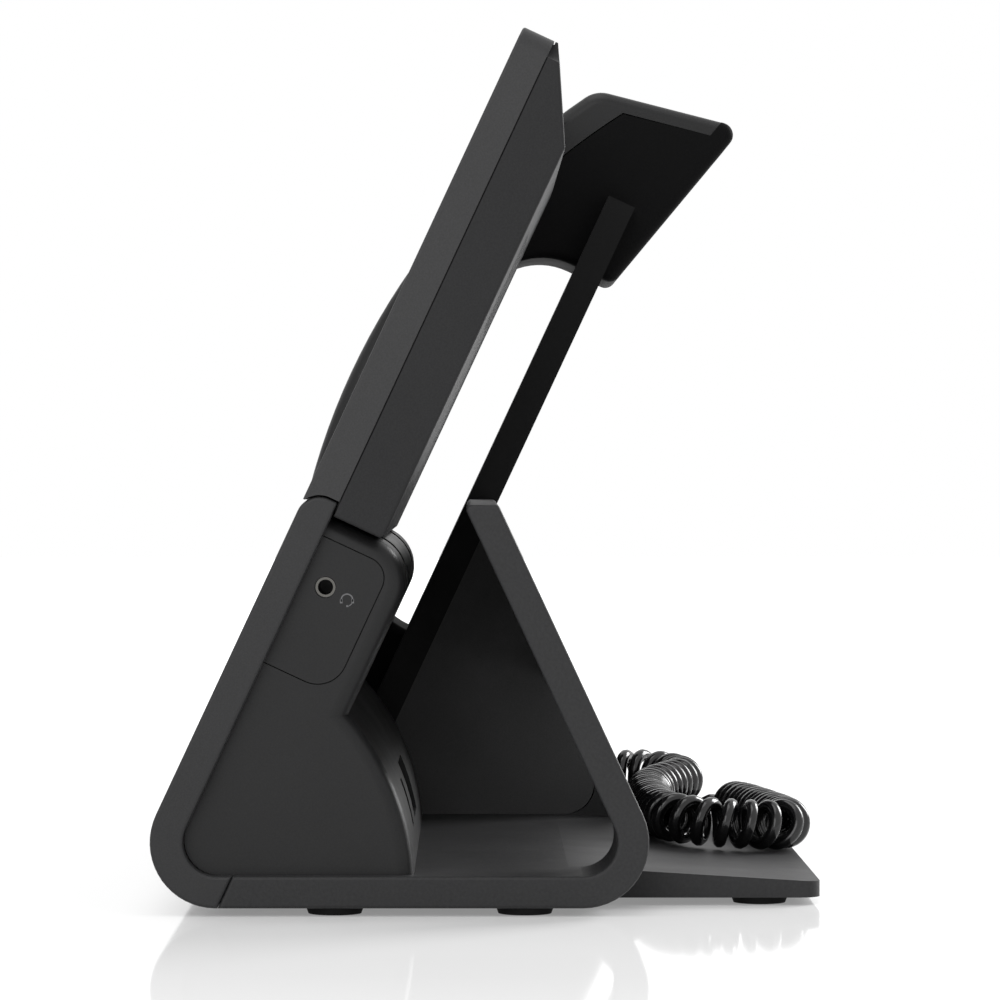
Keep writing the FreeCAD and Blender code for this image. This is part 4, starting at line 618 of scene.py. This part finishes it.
class PHONE_OT_curly_cord(bpy.types.Operator):
    """The curly cord from the handset's plug round the rear tongue to the plug in the base"""
    bl_idname = "phone.curly_cord"
    bl_label = "Curly cord"

    def execute(self, context):
        sizes = context.scene.phone_cord
        low, high = reach_of("handset_plug", LEAN_UP)
        exit_spot = middle_of("handset_plug") - LEAN_UP * (high - low) / 2
        plug_low, plug_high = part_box("base_plug")
        far_spot = (plug_low + plug_high) / 2
        far_spot.y = plug_high.y
        points = [exit_spot] + route(HANDSET_ROUTE)
        points += curls(line_of(route(COIL_ROUTE)), sizes)
        points += route(BASE_ROUTE) + [far_spot]
        curve = nurbs_through("handset_cord", points)
        curve.resolution_u = 3
        curve.bevel_depth = sizes.strand / 2
        curve.bevel_resolution = 3
        curve.use_fill_caps = True
        gloss = cord_gloss("cord_gloss", context.scene.phone_tones.cord)
        cord = new_piece("handset_cord", curve, "stand", gloss)
        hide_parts("handset_lead", "cord_coil", "base_lead")
        return {"FINISHED"}


class PHONE_OT_stand(bpy.types.Operator):
    """Finishes of the stand, the fascia, the feet and the screws"""
    bl_idname = "phone.stand"
    bl_label = "Stand"

    def execute(self, context):
        tones = context.scene.phone_tones
        dress(moulded("stand_grain", tones.stand), "stand_frame")
        dress(moulded("fascia_grain", tones.fascia), "front_fascia")
        dress(moulded("foot_rubber", tones.rubber), "rubber_feet")
        dress(metal("screw_steel", tones.steel, rough=0.35), "base_screws")
        return {"FINISHED"}


class PHONE_OT_pedestal(bpy.types.Operator):
    """Finishes of the pedestal, the sockets, the boards and the speakers, and the headset sign"""
    bl_idname = "phone.pedestal"
    bl_label = "Pedestal"

    def execute(self, context):
        tones = context.scene.phone_tones
        dress(moulded("pedestal_satin", tones.pedestal), "pedestal", "jack_panel")
        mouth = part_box("headset_jack")[1].x - RING_DEPTH * MM
        dress(jack_finish("jack_ring", tones.ring, tones.bore, mouth), "headset_jack")
        dress(moulded("socket_plastic", tones.socket), "network_ports", "power_jack", "cord_socket",
              "handset_socket")
        dress(moulded("solder_mask", tones.board), "main_board", "key_board", "display_board")
        dress(moulded("speaker_frame", tones.speaker), "loudspeaker", "receiver_capsule",
              "microphone_capsule")
        steel = metal("hinge_steel", tones.hinge, rough=0.4, stretch=(0.1, 1, 1))
        dress(steel, "hinge_arm_left", "hinge_arm_right", "hinge_pin_left", "hinge_pin_right")
        self.headset_sign(context)
        self.contacts(tones)
        return {"FINISHED"}

    def headset_sign(self, context):
        """The small headset sign beside the jack."""
        shape = sheets(headset_outlines(SIGN_RADIUS, SIGN_STROKE), context.scene.phone_print.film)
        spot = Vector((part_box("jack_panel")[1].x, SIGN_Y, SIGN_Z))
        grey = printed("sign_grey", context.scene.phone_tones.sign)
        sign = new_piece("headset_sign", mesh_from("headset_sign", shape), "stand", grey,
                         standing_on(spot, BACK, UP))

    def contacts(self, tones):
        """Bent contact wires in the two network sockets."""
        low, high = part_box("network_ports")
        wires = bpy.data.curves.new("network_contacts", "CURVE")
        wires.dimensions = "3D"
        wires.bevel_depth = WIRE_RADIUS * MM
        wires.bevel_resolution = 2
        wires.use_fill_caps = True
        for side in (-1, 1):
            socket_x = (low.x + high.x) / 2 + side * (high.x - low.x) / 4
            for index in range(WIRE_COUNT):
                x = socket_x + (index - (WIRE_COUNT - 1) / 2) * WIRE_PITCH * MM
                wire = wires.splines.new("POLY")
                wire.points.add(len(WIRE_BENDS) - 1)
                for point, (inward, down) in zip(wire.points, WIRE_BENDS):
                    point.co = (x, high.y - inward * MM, high.z - down * MM, 1)
        gold = metal("contact_gold", tones.gold, rough=0.25)
        piece = new_piece("network_contacts", wires, "stand", gold)


class PHONE_OT_keypad(bpy.types.Operator):
    """Finish and prints of the keys and the rocker"""
    bl_idname = "phone.keypad"
    bl_label = "Keypad"

    def execute(self, context):
        sizes = context.scene.phone_print
        tones = context.scene.phone_tones
        caps = moulded("key_matt", tones.caps)
        grey = printed("key_print", tones.print_grey)
        dress(moulded("mat_silicone", tones.mat), "key_mat")
        for key, (digit, letters) in DIAL_PRINTS.items():
            dress(caps, key)
            shape = bmesh.new()
            add_words(shape, digit, sizes.digit, *(DIGIT_SPOT if letters else (0, 0)), sizes.film)
            if letters:
                add_words(shape, letters, sizes.letter, *LETTER_SPOT, sizes.film)
            self.lay(key, shape, grey)
        for key, outlines in function_signs(sizes.stroke / MM).items():
            dress(caps, key)
            self.lay(key, sheets(outlines, sizes.film), grey)
        return {"FINISHED"}

    def lay(self, key, shape, finish):
        """Lays a print on a key's face."""
        place = standing_on(face_of(key), RIGHT, LEAN_UP)
        piece = new_piece("print_" + key, mesh_from("print_" + key, shape), key, finish, place)


class PHONE_OT_display(bpy.types.Operator):
    """Finishes of the display and a plain idle screen"""
    bl_idname = "phone.display"
    bl_label = "Display"

    def execute(self, context):
        tones = context.scene.phone_tones
        dress(moulded("bezel_matt", tones.bezel), "display_bezel")
        dress(moulded("cover_satin", tones.cover), "display_rear_cover")
        dress(screen_glass("cover_glass", tones.glass), "display_glass")
        dress(moulded("screen_module", tones.module), "lcd_panel")
        self.idle_screen(context.scene.phone_print.film, tones)
        return {"FINISHED"}

    def idle_screen(self, film, tones):
        """A dark ground on the glass with the time, a plain list and a row of soft keys."""
        ground = sheets([rounded_box(0, 0, *SCREEN_SIZE, SCREEN_CORNER)], film)
        tabs = sheets([rounded_box(*spot, *TAB_SIZE, TAB_CORNER) for spot in TAB_SPOTS], film)
        marks = bmesh.new()
        add_words(marks, "10:24", CLOCK_HEIGHT * MM, *CLOCK_SPOT, film)
        add_sheet(marks, box_outline(*CLOCK_BAR), film)
        for y in LIST_HEIGHTS:
            add_sheet(marks, arc(DOT_X, y, DOT_RADIUS, 0, 350, 35), film)
            for x, rise, width, height in LIST_BARS:
                add_sheet(marks, box_outline(x, y + rise, width, height), film)
        for spot in TAB_SPOTS:
            add_sheet(marks, box_outline(*spot, *TAB_BAR), 2 * film)
        place = standing_on(face_of("display_glass"), RIGHT, LEAN_UP)
        layers = {"screen_ground": (ground, tones.screen, 0), "screen_tabs": (tabs, tones.tabs, film),
                  "screen_marks": (marks, tones.marks, film)}
        for name, (shape, colour, lift) in layers.items():
            piece = new_piece(name, mesh_from(name, shape), "display", screen_film(name, colour),
                              place @ Matrix.Translation((0, 0, lift)))


class PHONE_OT_cradle(bpy.types.Operator):
    """Finishes of the cradle"""
    bl_idname = "phone.cradle"
    bl_label = "Cradle"

    def execute(self, context):
        tones = context.scene.phone_tones
        # The cradle's back is dressed darker than the inner wall, as painted shade
        dress(moulded("cradle_painted_shade", tones.cradle), "cradle_plate")
        # The inner wall gets a lightened colour, painted light against its shade
        dress(moulded("inner_wall_painted_light", tones.wall), "cradle_wall_inner")
        dress(moulded("outer_wall_matt", tones.stand), "cradle_wall_outer")
        dress(moulded("chip_black", tones.chip), "hook_sensor")
        return {"FINISHED"}


class PHONE_OT_handset(bpy.types.Operator):
    """Finishes of the handset, its weight, the magnet and the cord's plugs"""
    bl_idname = "phone.handset"
    bl_label = "Handset"

    def execute(self, context):
        tones = context.scene.phone_tones
        # The handset's shells get colours darkened as painted shade
        dress(moulded("handset_satin_painted_shade", tones.handset), "handset_back_shell")
        dress(moulded("handset_face_painted_shade", tones.face), "handset_face_shell")
        dress(metal("weight_steel", tones.weight, rough=0.4), "balance_weight", "hook_magnet")
        dress(moulded("plug_plastic", tones.plug), "handset_plug", "base_plug")
        return {"FINISHED"}


class PHONE_OT_stage(bpy.types.Operator):
    """Pale floor, white surroundings and three soft lamps"""
    bl_idname = "phone.stage"
    bl_label = "Stage"

    def execute(self, context):
        settings = context.scene.phone_stage
        shape = bmesh.new()
        bmesh.ops.create_grid(shape, x_segments=1, y_segments=1, size=FLOOR_REACH)
        floor = bpy.data.objects.new("floor", mesh_from("floor", shape))
        floor.location.z = -FLOOR_GAP
        context.scene.collection.objects.link(floor)
        floor.data.materials.append(self.floor_finish(settings))
        self.room(context, settings)
        for name, (spot, width, power) in LAMPS.items():
            self.lamp(context, name, Vector(spot), width, power)
        context.scene.view_settings.view_transform = "Standard"
        return {"FINISHED"}

    def lamp(self, context, name, spot, width, power):
        """A square soft lamp that faces the phone."""
        light = bpy.data.lights.new(name, "AREA")
        light.size = width
        light.energy = power
        lamp = bpy.data.objects.new(name, light)
        lamp.location = spot
        lamp.rotation_euler = (LAMP_AIM - spot).to_track_quat("-Z", "Y").to_euler()
        context.scene.collection.objects.link(lamp)

    def seen(self, tree):
        """1 for rays that show a surface or a background as it is."""
        paths = tree.nodes.new("ShaderNodeLightPath")
        value = paths.outputs["Is Camera Ray"]
        for name in ("Is Glossy Ray", "Is Transmission Ray"):
            value = add_math(tree, "MAXIMUM", value, paths.outputs[name])
        return value

    def floor_finish(self, settings):
        """White floor that keeps the phone's shadow and fades into the white round it."""
        finish, tree, shader, place = new_finish("floor_white")
        shader.inputs["Base Color"].default_value = (*settings.floor, 1)
        shader.inputs["Roughness"].default_value = 0.06
        shader.inputs["Specular IOR Level"].default_value = 0.04
        shader.inputs["Emission Color"].default_value = (1, 1, 1, 1)
        far = tree.nodes.new("ShaderNodeVectorMath")
        far.operation = "LENGTH"
        tree.links.new(place, far.inputs["Vector"])
        glow = add_span(tree, far.outputs["Value"], *GLOW, *GLOW_REACH)
        tree.links.new(add_math(tree, "MULTIPLY", glow, self.seen(tree)), shader.inputs["Emission Strength"])
        return finish

    def room(self, context, settings):
        """Even light from all round, white where it is seen."""
        world = bpy.data.worlds.new("studio")
        context.scene.world = world
        world.use_nodes = True
        tree = world.node_tree
        tree.nodes.clear()
        even = tree.nodes.new("ShaderNodeBackground")
        even.inputs["Strength"].default_value = settings.room
        even.inputs["Color"].default_value = (1, 1, 1, 1)
        white = tree.nodes.new("ShaderNodeBackground")
        white.inputs["Color"].default_value = (1, 1, 1, 1)
        either = tree.nodes.new("ShaderNodeMixShader")
        tree.links.new(self.seen(tree), either.inputs["Fac"])
        tree.links.new(even.outputs["Background"], either.inputs[1])
        tree.links.new(white.outputs["Background"], either.inputs[2])
        result = tree.nodes.new("ShaderNodeOutputWorld")
        tree.links.new(either.outputs["Shader"], result.inputs["Surface"])


# Panel and registration

class PHONE_PT_pieces(bpy.types.Panel):
    """Lists the phone's pieces and what may be changed"""
    bl_label = "Desk phone"
    bl_idname = "PHONE_PT_pieces"
    bl_space_type = "VIEW_3D"
    bl_region_type = "UI"
    bl_category = "Desk phone"

    def draw(self, context):
        for group in GROUPS:
            settings = getattr(context.scene, group)
            for name in settings.bl_rna.properties.keys()[2:]:
                self.layout.prop(settings, name)
        for operator in OPERATORS:
            self.layout.operator(operator.bl_idname)


GROUPS = {"phone_tones": PhoneTones, "phone_cord": CordSizes, "phone_print": PrintSizes,
          "phone_stage": StageSettings}
OPERATORS = [PHONE_OT_camera, PHONE_OT_curly_cord, PHONE_OT_stand, PHONE_OT_pedestal, PHONE_OT_keypad,
             PHONE_OT_display, PHONE_OT_cradle, PHONE_OT_handset, PHONE_OT_stage]
CLASSES = [*GROUPS.values(), *OPERATORS, PHONE_PT_pieces]


def register():
    """Registers the classes and hangs the settings on the scene."""
    for kind in CLASSES:
        bpy.utils.register_class(kind)
    for name, kind in GROUPS.items():
        setattr(bpy.types.Scene, name, PointerProperty(type=kind))


def unregister():
    """Takes the settings and the classes away again."""
    for name in GROUPS:
        delattr(bpy.types.Scene, name)
    for kind in reversed(CLASSES):
        bpy.utils.unregister_class(kind)


def main():
    """Makes every piece in order."""
    register()
    bpy.ops.phone.camera()
    bpy.ops.phone.curly_cord()
    bpy.ops.phone.stand()
    bpy.ops.phone.pedestal()
    bpy.ops.phone.keypad()
    bpy.ops.phone.display()
    bpy.ops.phone.cradle()
    bpy.ops.phone.handset()
    bpy.ops.phone.stage()


if __name__ == "__main__":
    main()
